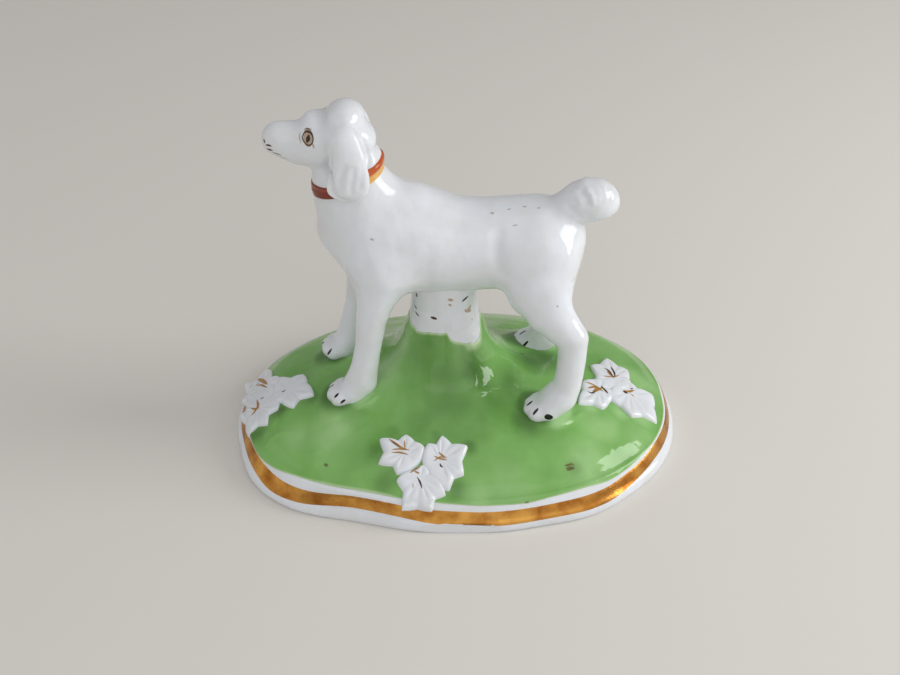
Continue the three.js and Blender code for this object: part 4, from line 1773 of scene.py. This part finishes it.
    def height(self, spots: np.ndarray) -> np.ndarray:
        """Height of the glazed ground.

        Args:
            spots: Places seen from above.

        Returns:
            Heights in millimetres.
        """
        out = self.outward(spots)
        dome = self.rise * (1 - np.minimum(out, 1) ** self.fullness)
        beyond = np.hypot(*spots.T) * (1 - 1 / np.maximum(out, 1))
        inset, z = np.array(self.wall[self.widest :: -1]).T
        drop = np.interp(self.rim_inset - beyond, inset, z) - self.rim_top
        off = spots - self.middle
        bearing = np.arctan2(off[:, 1], off[:, 0])
        far = np.hypot(*off.T)
        clear = far - self.stump_foot
        away = np.maximum(clear - self.bulge(bearing) * np.exp(-np.maximum(clear, 0) / 3), 0)
        flare = self.flare_rise * np.exp(-away / self.flare_spread)
        level = np.column_stack([spots, np.zeros(len(spots))])
        uneven = sum(height * lumps(level, size, seed) for height, size, seed in self.hills)
        for turn in np.radians(self.roots):
            aside = far * np.sin(bearing - turn)
            ahead = np.cos(bearing - turn) > 0
            fall = np.exp(-((aside / self.root_width) ** 2) - (away / self.root_run) ** 2)
            uneven += self.root_height * ahead * fall
        for limb in LIMBS:
            uneven += self.paw_swell * np.exp(-((limb.beside(spots) / self.paw_reach) ** 2))
        fade = smooth_step(1.0, 0.8, out) * smooth_step(0, 5, away)
        cover = self.skin * smooth_step(1.0, 0.93, out) * smooth_step(0, 6, away)
        return self.rim_top + dome + drop + flare + uneven * fade + cover

    def spread(self, spots: np.ndarray) -> np.ndarray:
        """How far out places lie, with 1 on the rim of a true oval."""
        across, back = (np.abs(spots / (self.half - self.rim_inset)) ** self.squareness).T
        return (across + back) ** (1 / self.squareness)

    def outward(self, spots: np.ndarray) -> np.ndarray:
        """How far out places lie, with 1 on the hand-pressed rim.

        Args:
            spots: Places seen from above.

        Returns:
            One share for each place.
        """
        facing = np.arctan2(spots[:, 1], spots[:, 0])
        rim_facing = np.arctan2(self.rim[:, 1], self.rim[:, 0])
        return self.spread(spots) / np.interp(facing, rim_facing, self.spread(self.rim), period=FULL_TURN)

    def inside(self, spots: np.ndarray, limit: float = 1.0) -> np.ndarray:
        """Draws places that lie beyond the rim, or a multiple of it, back to it."""
        return spots * np.minimum(limit / np.maximum(self.outward(spots), limit), 1)[:, None]

    def bulge(self, bearing: np.ndarray) -> np.ndarray:
        """How far roots swell the stump's foot at each bearing in radians.

        Args:
            bearing: Bearings from the stump's middle.

        Returns:
            One swelling for each bearing.
        """
        knots = np.array([
            (-180, 0.0), (-150, 0.5), (-125, 0.1), (-95, 0.0), (-88, 0.0), (-77, 0.75), (-62, 1.0),
            (-40, 0.5), (-15, 0.2), (10, 0.5), (40, 0.1), (90, 0.4), (130, 0.0), (180, 0.0),
        ])
        return np.interp((np.degrees(bearing) + 180) % 360 - 180, knots[:, 0], knots[:, 1])

    def stump_radius(self, height: np.ndarray) -> np.ndarray:
        """Radius of the stump at each turn.

        Args:
            height: Height above its seat, one for each turn.

        Returns:
            Radii in millimetres.
        """
        share = height / (self.stump_high - self.seat)
        return np.interp(
            share,
            [-0.2, 0, 0.12, 0.24, 0.55, 1],
            [9.2, self.stump_foot, 8.05, 1.06 * self.stump_top, self.stump_top, 1.04 * self.stump_top],
        )

    def surface(self, path: np.ndarray) -> np.ndarray:
        """Points of the stump and ground along each turn.

        Args:
            path: Distance from the stump's foot for each turn. Below 0 it climbs the stump, up to
                the flare's width it is a distance out from the foot, one more reaches the rim, and
                beyond that it runs down the wall.

        Returns:
            Points, one row for each turn.
        """
        reach = np.clip(path, 0, self.flare_width)
        out = self.stump_foot + self.bulge(self.turns) * np.exp(-reach / 3) + reach
        share = np.clip(path - self.flare_width, 0, 1)[:, None]
        spots = self.middle + self.circle * out[:, None]
        spots = spots + (self.oval(self.rim_inset) - spots) * share
        ground = np.column_stack([spots, self.height(spots)])
        over = self.wall_scale * np.maximum(path - self.flare_width - 1, 0)
        line = self.wall_line(80)
        run = np.append(0, np.cumsum(np.hypot(*np.diff(line, axis=0).T)))
        inset, z = (np.interp(over, run, side) for side in line.T)
        ground = np.where((over > 0)[:, None], np.column_stack([self.oval(inset), z]), ground)
        return np.where((path < 0)[:, None], self.stem(np.maximum(-path, 0)), ground)

    def stem(self, climb: np.ndarray) -> np.ndarray:
        """Points of the stump at a height above its seat, one for each turn.

        Args:
            climb: Heights above the seat, one for each turn.

        Returns:
            One point for each turn.
        """
        radius = self.stump_radius(climb) + self.bulge(self.turns) * (1 - 0.6 * smooth_step(0, 9, climb))
        spots = self.middle + self.circle * radius[:, None]
        points = np.column_stack([spots, self.seat + climb])
        bark = 0.16 * lumps(points * np.array([1, 1, 0.4]), 3.2, 13.0)
        points[:, :2] += self.circle * (bark * smooth_step(0, 2, climb))[:, None]
        return points

    def build_base(self) -> bpy.types.Object:
        """Makes the white base with its foot and hollow underside.

        Returns:
            The piece.
        """
        flare = self.flare_width * np.linspace(0, 1, 24) ** 1.4
        dome = self.flare_width + 1 - (1 - np.linspace(0, 1, 90)[1:]) ** 1.3
        top = [self.surface(np.full(self.corners, path)) for path in (*flare, *dome)]
        seat = top[0].copy()
        seat[:, :2] = (seat[:, :2] - self.middle) * 0.6 + self.middle
        seat[:, 2] -= 1.5
        wall = [self.level_ring(inset, z) for inset, z in self.wall_line(40)]
        slope = [self.level_ring(self.foot_ring + self.lip * t, self.lip_height * t) for t in (0, 0.3, 0.6, 1)]
        under = []
        for share in np.linspace(0.92, 0.1, 14):
            spots = self.oval(self.foot_ring + self.lip) * share + self.middle * (1 - share)
            roof = np.minimum(self.height(spots) - self.dome_wall, self.seat - self.seat_wall)
            under.append(np.column_stack([spots, roof]))
        end = np.tile(under[-1].mean(axis=0), (self.corners, 1))
        start = np.tile(seat.mean(axis=0), (self.corners, 1))
        rings = [start, seat, *top, *wall[1:], *slope, *under, end]
        skin = Skin.loft(rings)
        return skin.build("white_base", WHITE_GLAZE.material(), Slot.PORCELAIN, "base_shell")

    def level_ring(self, inset: float, z: float) -> np.ndarray:
        """Outline of the base at one height, set in by a distance."""
        return np.column_stack([self.oval(inset), np.full(self.corners, z)])

    def wall_line(self, count: int) -> np.ndarray:
        """Smooth line of the outer wall as insets and heights."""
        return np.maximum(curve(np.array(self.wall), count), 0)

    def build_stump(self, camera: PhotoCamera) -> bpy.types.Object:
        """Makes the white stump, with its foot set a little into the ground.

        Args:
            camera: The camera that saw the figurine.

        Returns:
            The piece.
        """
        climbs = np.linspace(self.stump_high + self.tuck - self.seat, -0.8, 60)
        rings = [self.stem(np.full(self.corners, climb)) for climb in climbs]
        cap = np.tile(rings[0].mean(axis=0), (self.corners, 1))
        skin = Skin.loft([cap, *rings])
        skin.brush(BARK_FLECKS, camera, False)
        return skin.build("stump_bark", WHITE_GLAZE.material(), Slot.PORCELAIN, "stump")

    def build_green(self, camera: PhotoCamera) -> bpy.types.Object:
        """Lays the green enamel over the ground and up the stump.

        Args:
            camera: The camera that saw the figurine.

        Returns:
            The piece.
        """
        knots = np.array([
            (-180, 32.0), (-156, 31.8), (-135, 30.8), (-117, 31.4), (-100, 31.6), (-84, 31.8),
            (-80, 30.6), (-65, 29.6), (-52, 28.6), (-32, 28.4), (-19, 29.5), (-6, 30.9),
            (30, 31.5), (80, 30.6), (130, 31.8), (180, 32.0),
        ])
        angle = (np.degrees(self.turns) + 180) % 360 - 180
        tops = np.interp(angle, knots[:, 0], knots[:, 1])
        tops = ring_average(tops, 1, 2)
        tops = tops + 0.3 * lumps(self.stem(np.full(self.corners, 2.0)), 1.5, 23.0)
        start = np.where(tops > self.seat, self.seat - tops, (self.seat - tops) * 0.3)
        around = self.level_ring(0, 0)
        spill = 0.2 * lumps(around, 9.0, 2.0) + self.by_turn((
            (0, 0.3), (30, 0.4), (90, -0.2), (180, 0.3), (200, 1.6), (211, 1.9), (219, 1.4), (227, 0.3),
            (243, -0.4), (251, -0.5), (262, 0.6), (275, 1.5), (286, 1.9), (298, 1.2), (304, 1.0),
            (311, 1.8), (319, 1.6), (327, 0.8), (345, 0.7), (360, 0.3),
        ), 6)
        stop = self.flare_width + 1 + np.where(spill > 0, spill / self.wall_scale, spill / 30)
        shares = np.concatenate([np.linspace(0, 0.06, 5), np.linspace(0.08, 0.96, 90), np.linspace(0.97, 1, 5)])
        rings = []
        edges = []
        for share in shares:
            if share < 0.35:
                path = start + (self.flare_width - start) * (share / 0.35) ** 1.3
            else:
                path = self.flare_width + (stop - self.flare_width) * (share - 0.35) / 0.65
            rings.append(self.surface(path))
            inner_edge = path - start
            outer_edge = (stop - path) * 22
            edges.append(np.minimum(inner_edge, outer_edge))
        skin = Skin.loft([rings[0], *rings, rings[-1]])
        edge = np.concatenate([edges[0] - 1, *edges, edges[-1] - 1])
        skin.marks["edge"] = -np.clip(edge, 0, 1)
        # Darkening from pooled enamel with painted shade, paling from thin enamel with painted highlight.
        skin.marks["pool_and_shade"], skin.marks["thin"] = self.pooling_and_painted_light(skin.points, camera)
        skin.raise_by(np.where(edge < -0.5, -0.15, 0.06 + 0.1 * np.sqrt(np.clip(edge / 0.7, 0, 1))))
        skin.tool(GROUND_RIDGES, camera, False)
        skin.brush(GROUND_SPECKS, camera, False)
        return skin.build("green_ground_enamel", GREEN_GLAZE.material(), Slot.GREEN, "green_ground")

    def under(self, camera: PhotoCamera, pixel: tuple[float, float], lift: float = 0.0) -> np.ndarray:
        """Finds what a pixel shows on the ground.

        Args:
            camera: The camera that saw it.
            pixel: Place in the photograph.
            lift: Height of what it shows above the ground.

        Returns:
            The place seen from above.
        """
        height = self.rim_top
        for _ in range(24):
            spot = camera.level(pixel, height)
            height += 0.25 * (self.height(self.inside(spot[None]))[0] + lift - height)
        return spot

    def pooling_and_painted_light(self, points: np.ndarray, camera: PhotoCamera) -> tuple[np.ndarray, np.ndarray]:
        """Where the green is darkened by pooled enamel and painted shade, and where it is paled by thin enamel and
        painted highlight.

        Args:
            points: Places on the enamel.
            camera: The camera that saw the pools.

        Returns:
            Shares of deep enamel with painted shade, and of thin enamel with painted highlight.
        """
        spots = points[:, :2]
        deep = np.zeros(len(points))
        thin = np.zeros(len(points))
        # Painted shade on the side of each paw away from the window lamp, painted highlight on the side towards it.
        for limb in LIMBS:
            share = np.exp(-((limb.beside(spots) / 1.8) ** 2))
            lit = smooth_step(-2.5, 2.5, spots[:, 0] - limb.girths[-2].x)
            deep = np.maximum(deep, 0.8 * share * (1 - lit))
            thin = np.maximum(thin, 0.9 * share * lit)
        # Patches from the table: pooled enamel and painted shade where the depth is positive, thin enamel and painted
        # highlight where it is negative.
        for pool_and_shade in POOLS_AND_SHADES:
            apart = np.linalg.norm(spots - self.under(camera, pool_and_shade.pixel), axis=1)
            share = abs(pool_and_shade.depth) * np.exp(-((apart / pool_and_shade.reach) ** 2))
            if pool_and_shade.depth > 0:
                deep = np.maximum(deep, share)
            else:
                thin = np.maximum(thin, share)
        drift = np.clip(0.9 + 0.3 * lumps(points, 8.0, 41.0) + 0.2 * lumps(points, 3.5, 43.0), 0.5, 1.3)
        return deep * drift, thin * drift

    def build_gold(self) -> bpy.types.Object:
        """Draws the gold line round the wall.

        Returns:
            The piece.
        """
        around = self.level_ring(0, 0)
        wander = self.by_turn((
            (0, 0.6), (45, 0.0), (180, 0.0), (211, -0.2), (223, -0.9), (235, -0.6), (245, 0.4), (255, 0.2),
            (265, -0.7), (280, -1.3), (292, -1.1), (311, -1.1), (322, -0.4), (334, 0.5), (360, 0.6),
        ), 6)
        low = self.gold_edges[0] + wander + 0.12 * lumps(around, 12.0, 31.0)
        high = self.gold_edges[1] + wander + 0.12 * lumps(around, 10.0, 37.0)
        line = self.wall_line(80)[::-1]
        line = line[line[:, 1] > 0.1]
        rings = []
        for share in np.linspace(1, 0, 9):
            z = low + (high - low) * share
            inset = np.interp(z, line[:, 1], line[:, 0])
            lift = self.gold_coat * (1 - (2 * share - 1) ** 6)
            rings.append(np.column_stack([self.oval(inset - lift), z]))
        skin = Skin.loft(rings)
        return skin.build("gold_line", GOLD_GLAZE.material(), Slot.GOLD, "gilt_band")


@dataclass(frozen=True)
class Leaf:
    """An applied leaf of pressed clay.

    Attributes:
        node: CAD node that it stands for.
        centre: Where its veins meet, in the photograph.
        tips: Ends of its lobes in the photograph.
        veins: Gilt strokes on it.
        notch: Share of the lobe length at which lobes part.
    """

    node: str
    centre: tuple[float, float]
    tips: tuple[tuple[float, float], ...]
    veins: tuple[Stroke, ...] = ()
    notch: float = 0.8


def gilt(*pixels: tuple[float, float], width: float = 0.45) -> Stroke:
    """A thin gilt stroke through some pixels."""
    return Stroke(Paint.OCHRE, pixels, width)


def brown(*pixels: tuple[float, float], width: float = 0.45) -> Stroke:
    """A thin brown stroke through some pixels."""
    return Stroke(Paint.BROWN, pixels, width)


LEAVES = (
    Leaf(
        "leaf_front_3", (405, 452), ((380, 437), (406, 433), (424, 445), (397, 471), (379, 461)),
        (
            gilt((389, 439), (395, 443), (402, 448), (409, 450), width=0.7),
            gilt((392, 449.5), (400, 449), (408, 450), width=0.55),
            gilt((392, 452.5), (400, 452.5), (408, 454.5), width=0.6),
            gilt((404.5, 440), (404.5, 444), (405, 449), width=0.5),
            brown((390, 440), (395, 444), (400, 446.5), width=0.3),
        ),
    ),
    Leaf(
        "leaf_front_2", (441, 459), ((428, 442), (442, 434), (467, 444), (463, 472), (449, 487)),
        (
            gilt((434, 456), (440, 458.5), (447, 460), width=0.6),
            gilt((438.5, 452), (443, 456), (447, 458), width=0.6),
            gilt((434, 461), (439, 457.5), (445, 456.5), width=0.5),
            brown((440, 463.5), (441, 466), (443, 467), width=0.5),
        ),
    ),
    Leaf(
        "leaf_front_1", (420, 478), ((397, 478), (402, 502), (429, 512), (445, 492), (424, 464)),
        (
            gilt((410, 473), (415, 469.5), (421, 466), width=0.6),
            gilt((413, 470), (417, 472.5), (420, 473), width=0.5),
            brown((417, 477), (420, 482), (422, 488.5), width=0.5),
            gilt((413, 483), (413, 489), width=0.35),
        ),
    ),
    Leaf(
        "leaf_left_2", (263, 385), ((266, 368), (245, 378), (242, 395), (272, 396), (280, 376)),
        (
            gilt((258, 379), (263, 381), (267, 384), width=1.2),
            gilt((256, 386), (261, 385), (267, 387.5), width=0.7),
            brown((256, 385), (259.5, 383), width=0.4),
        ),
    ),
    Leaf(
        "leaf_left_3", (257, 407), ((240, 410), (249, 429), (267, 422), (277, 407), (248, 393)),
        (
            gilt((257, 400), (258, 406), (255, 411), (252, 415), width=0.9),
            gilt((251, 408), (255, 409), (259, 408), width=0.7),
            brown((260, 399.5), (264, 397), width=0.4),
        ),
    ),
    Leaf(
        "leaf_left_1", (286, 389), ((303, 373), (313, 393), (293, 405), (271, 402), (279, 376)),
        (brown((281.5, 392), (283.5, 391.3), (285.5, 390), width=0.5),),
    ),
    Leaf(
        "leaf_right_2", (613, 376), ((591, 364), (607, 357), (628, 369), (632, 385), (597, 379)),
        (
            brown((604, 368), (609, 371), (613, 376.5), width=0.6),
            brown((611, 367), (614, 372), (615, 377), width=0.6),
            gilt((607, 371), (611, 375), (614, 378), width=0.8),
            gilt((603, 376), (609, 376.5), (614, 377.5), width=0.5),
            gilt((613, 377.5), (619, 375), width=0.5),
        ),
        0.92,
    ),
    Leaf(
        "leaf_right_3", (599, 390), ((583, 380), (579, 401), (603, 406), (614, 394), (604, 378)),
        (
            gilt((585, 382), (592, 384), (600, 388), width=0.5),
            gilt((593, 392), (597, 389.5), (602, 388), width=1.1),
            brown((587, 391), (592, 393), (596, 391), width=0.45),
            brown((601, 386), (605, 390), (608, 393.5), width=0.6),
            gilt((588, 388), (595, 387), (603, 391), width=0.8),
        ),
        0.92,
    ),
    Leaf(
        "leaf_right_1", (629, 392), ((653, 394), (656, 420), (632, 414), (611, 397), (630, 381)),
        (
            brown((623, 391), (628, 393.5), width=0.7),
            brown((630.5, 389), (633, 388), width=0.4),
            gilt((631, 394), (634, 396.5), width=0.5),
            gilt((624, 390.5), (629, 391.5), (634, 390), width=0.8),
        ),
        0.92,
    ),
)


@dataclass
class Foliage:
    """Leaves laid on the mound while the clay was wet.

    Attributes:
        thickness: Height of a leaf above the ground.
        growth: Size of the leaves, edges and all, against the tips that show.
        overhang: How far out a lobe may reach, with 1 on the rim.
        droop: How far a lobe sinks where it stands out over the rim.
        corners: Points round a leaf.
        rows: Points from the middle to the edge.
    """

    thickness: float = 1.6
    growth: float = 1.05
    overhang: float = 1.07
    droop: float = 1.1
    corners: int = 240
    rows: int = 26

    def build(self, mound: Mound, camera: PhotoCamera) -> None:
        """Lays every leaf on the mound.

        Args:
            mound: The ground that carries them.
            camera: The camera that saw the figurine.
        """
        material = WHITE_GLAZE.material()
        for leaf in LEAVES:
            skin = self.lay(leaf, mound, camera)
            skin.brush(leaf.veins, camera, False)
            skin.build(f"{leaf.node}_pressed", material, Slot.PORCELAIN, leaf.node)

    def bed(self, mound: Mound, spots: np.ndarray) -> np.ndarray:
        """Height of what carries a leaf: the ground, and beyond the rim the leaf's own stiffness."""
        return np.maximum(mound.height(spots), mound.rim_top - self.droop)

    def lay(self, leaf: Leaf, mound: Mound, camera: PhotoCamera) -> Skin:
        """Models one leaf where the photograph shows it.

        Args:
            leaf: Its places in the photograph.
            mound: The base that carries it.
            camera: The camera that saw it.

        Returns:
            Its surface.
        """
        lift = 0.7 * self.thickness
        centre = mound.under(camera, leaf.centre, lift)
        tips = np.array([mound.under(camera, tip, lift) for tip in leaf.tips])
        ends = mound.inside(centre + self.growth * (tips - centre), self.overhang) - centre
        bearing = np.arctan2(ends[:, 1], ends[:, 0])
        order = np.argsort(bearing)
        knots = np.append(bearing[order], bearing[order[0]] + FULL_TURN)
        reaches = np.hypot(*ends.T)[np.append(order, order[0])]
        turns = np.linspace(knots[0], knots[-1], self.corners, endpoint=False)
        part = np.clip(np.searchsorted(knots, turns, side="right") - 1, 0, len(order) - 1)
        share = (turns - knots[part]) / (knots[part + 1] - knots[part])
        along = np.abs(2 * share - 1)
        tip = np.where(share < 0.5, reaches[part], reaches[part + 1])
        cleft = leaf.notch * np.minimum(reaches[part], reaches[part + 1])
        edge = cleft + (tip - cleft) * along**1.4
        edge = ring_average(edge, 1, 1)
        crease = np.exp(-((along / 0.34) ** 2))
        vein = np.exp(-(((1 - along) / 0.2) ** 2))
        circle = np.stack([np.cos(turns), np.sin(turns)], axis=1)
        rings = []
        for row in np.linspace(0, 1, self.rows) ** 0.8:
            spots = centre + circle * (edge * row)[:, None]
            cup = 0.62 + 0.38 * row**2
            fold = 1 - (0.2 * crease * row + 0.12 * vein * (1 - row**3)) * smooth_step(0.05, 0.5, row)
            brim = math.sqrt(max(1 - row**6, 0))
            rings.append(np.column_stack([spots, self.bed(mound, spots) + self.thickness * cup * fold * brim]))
        for share, depth in ((1.01, 0.4), (0.8, 0.8)):
            spots = centre + circle * (edge * share)[:, None]
            rings.append(np.column_stack([spots, self.bed(mound, spots) - depth]))
        return Skin.loft(rings)


@dataclass(frozen=True)
class Lamp:
    """A rectangular lamp that faces the dog.

    Attributes:
        name: Its name.
        place: Where it hangs, in metres.
        size: Its width and height in metres.
        power: Its power in watts.
    """

    name: str
    place: tuple[float, float, float]
    size: tuple[float, float]
    power: float

    def hang(self) -> None:
        """Hangs the lamp and turns it to the dog."""
        data = bpy.data.lights.new(self.name, "AREA")
        data.shape = "RECTANGLE"
        data.size, data.size_y = self.size
        data.energy = self.power
        lamp = bpy.data.objects.new(self.name, data)
        lamp.location = self.place
        aim = Vector((0, 0, 0.045)) - Vector(self.place)
        lamp.rotation_euler = aim.to_track_quat("-Z", "Y").to_euler()
        bpy.context.scene.collection.objects.link(lamp)


LAMPS = (
    Lamp("window_right", (0.52, -0.03, 0.26), (0.26, 0.42), 1.7),
    Lamp("soft_top", (0.05, -0.32, 0.72), (1.3, 1.0), 1.35),
    Lamp("soft_front", (0.2, -0.62, 0.3), (1.2, 0.8), 1.3),
    Lamp("soft_left", (-0.6, -0.12, 0.22), (0.8, 0.5), 0.35),
)


@dataclass
class Studio:
    """A pale floor, a broad window light from the right and soft fills.

    Attributes:
        floor_code: Floor colour as sRGB hex.
        floor_size: Floor width in metres.
        sky: Strength of the even light all round.
    """

    floor_code: str = "#E4E0DA"
    floor_size: float = 6.0
    sky: float = 0.4

    def build(self) -> None:
        """Makes the floor, lamps and world."""
        bpy.context.scene.view_settings.view_transform = "Standard"
        half = self.floor_size / 2
        mesh = bpy.data.meshes.new("studio_floor")
        mesh.from_pydata([(-half, -half, 0), (half, -half, 0), (half, half, 0), (-half, half, 0)], [], [(0, 1, 2, 3)])
        floor = bpy.data.objects.new("studio_floor", mesh)
        material = bpy.data.materials.new("studio_paper")
        material.use_nodes = True
        shader = material.node_tree.nodes["Principled BSDF"]
        shader.inputs["Base Color"].default_value = linear_colour(self.floor_code)
        shader.inputs["Roughness"].default_value = 0.9
        mesh.materials.append(material)
        bpy.context.scene.collection.objects.link(floor)
        world = bpy.data.worlds.new("studio_world")
        world.use_nodes = True
        background = world.node_tree.nodes["Background"]
        background.inputs["Color"].default_value = linear_colour("#F2F1F0")
        background.inputs["Strength"].default_value = self.sky
        bpy.context.scene.world = world
        for lamp in LAMPS:
            lamp.hang()


def main() -> None:
    """Builds the scene piece by piece."""
    logging.basicConfig(level=logging.INFO, format="%(name)s: %(message)s")
    camera = PhotoCamera()
    camera.build()
    Studio().build()
    trunk = Trunk()
    plane = CollarPlane()
    body = DogBody().build(trunk, plane, camera)
    head = DogHead().build(trunk, plane, camera)
    Collar().build(trunk, plane, body, head)
    mound = Mound()
    mound.build_base()
    mound.build_stump(camera)
    mound.build_green(camera)
    mound.build_gold()
    Foliage().build(mound, camera)


if __name__ == "__main__":
    main()
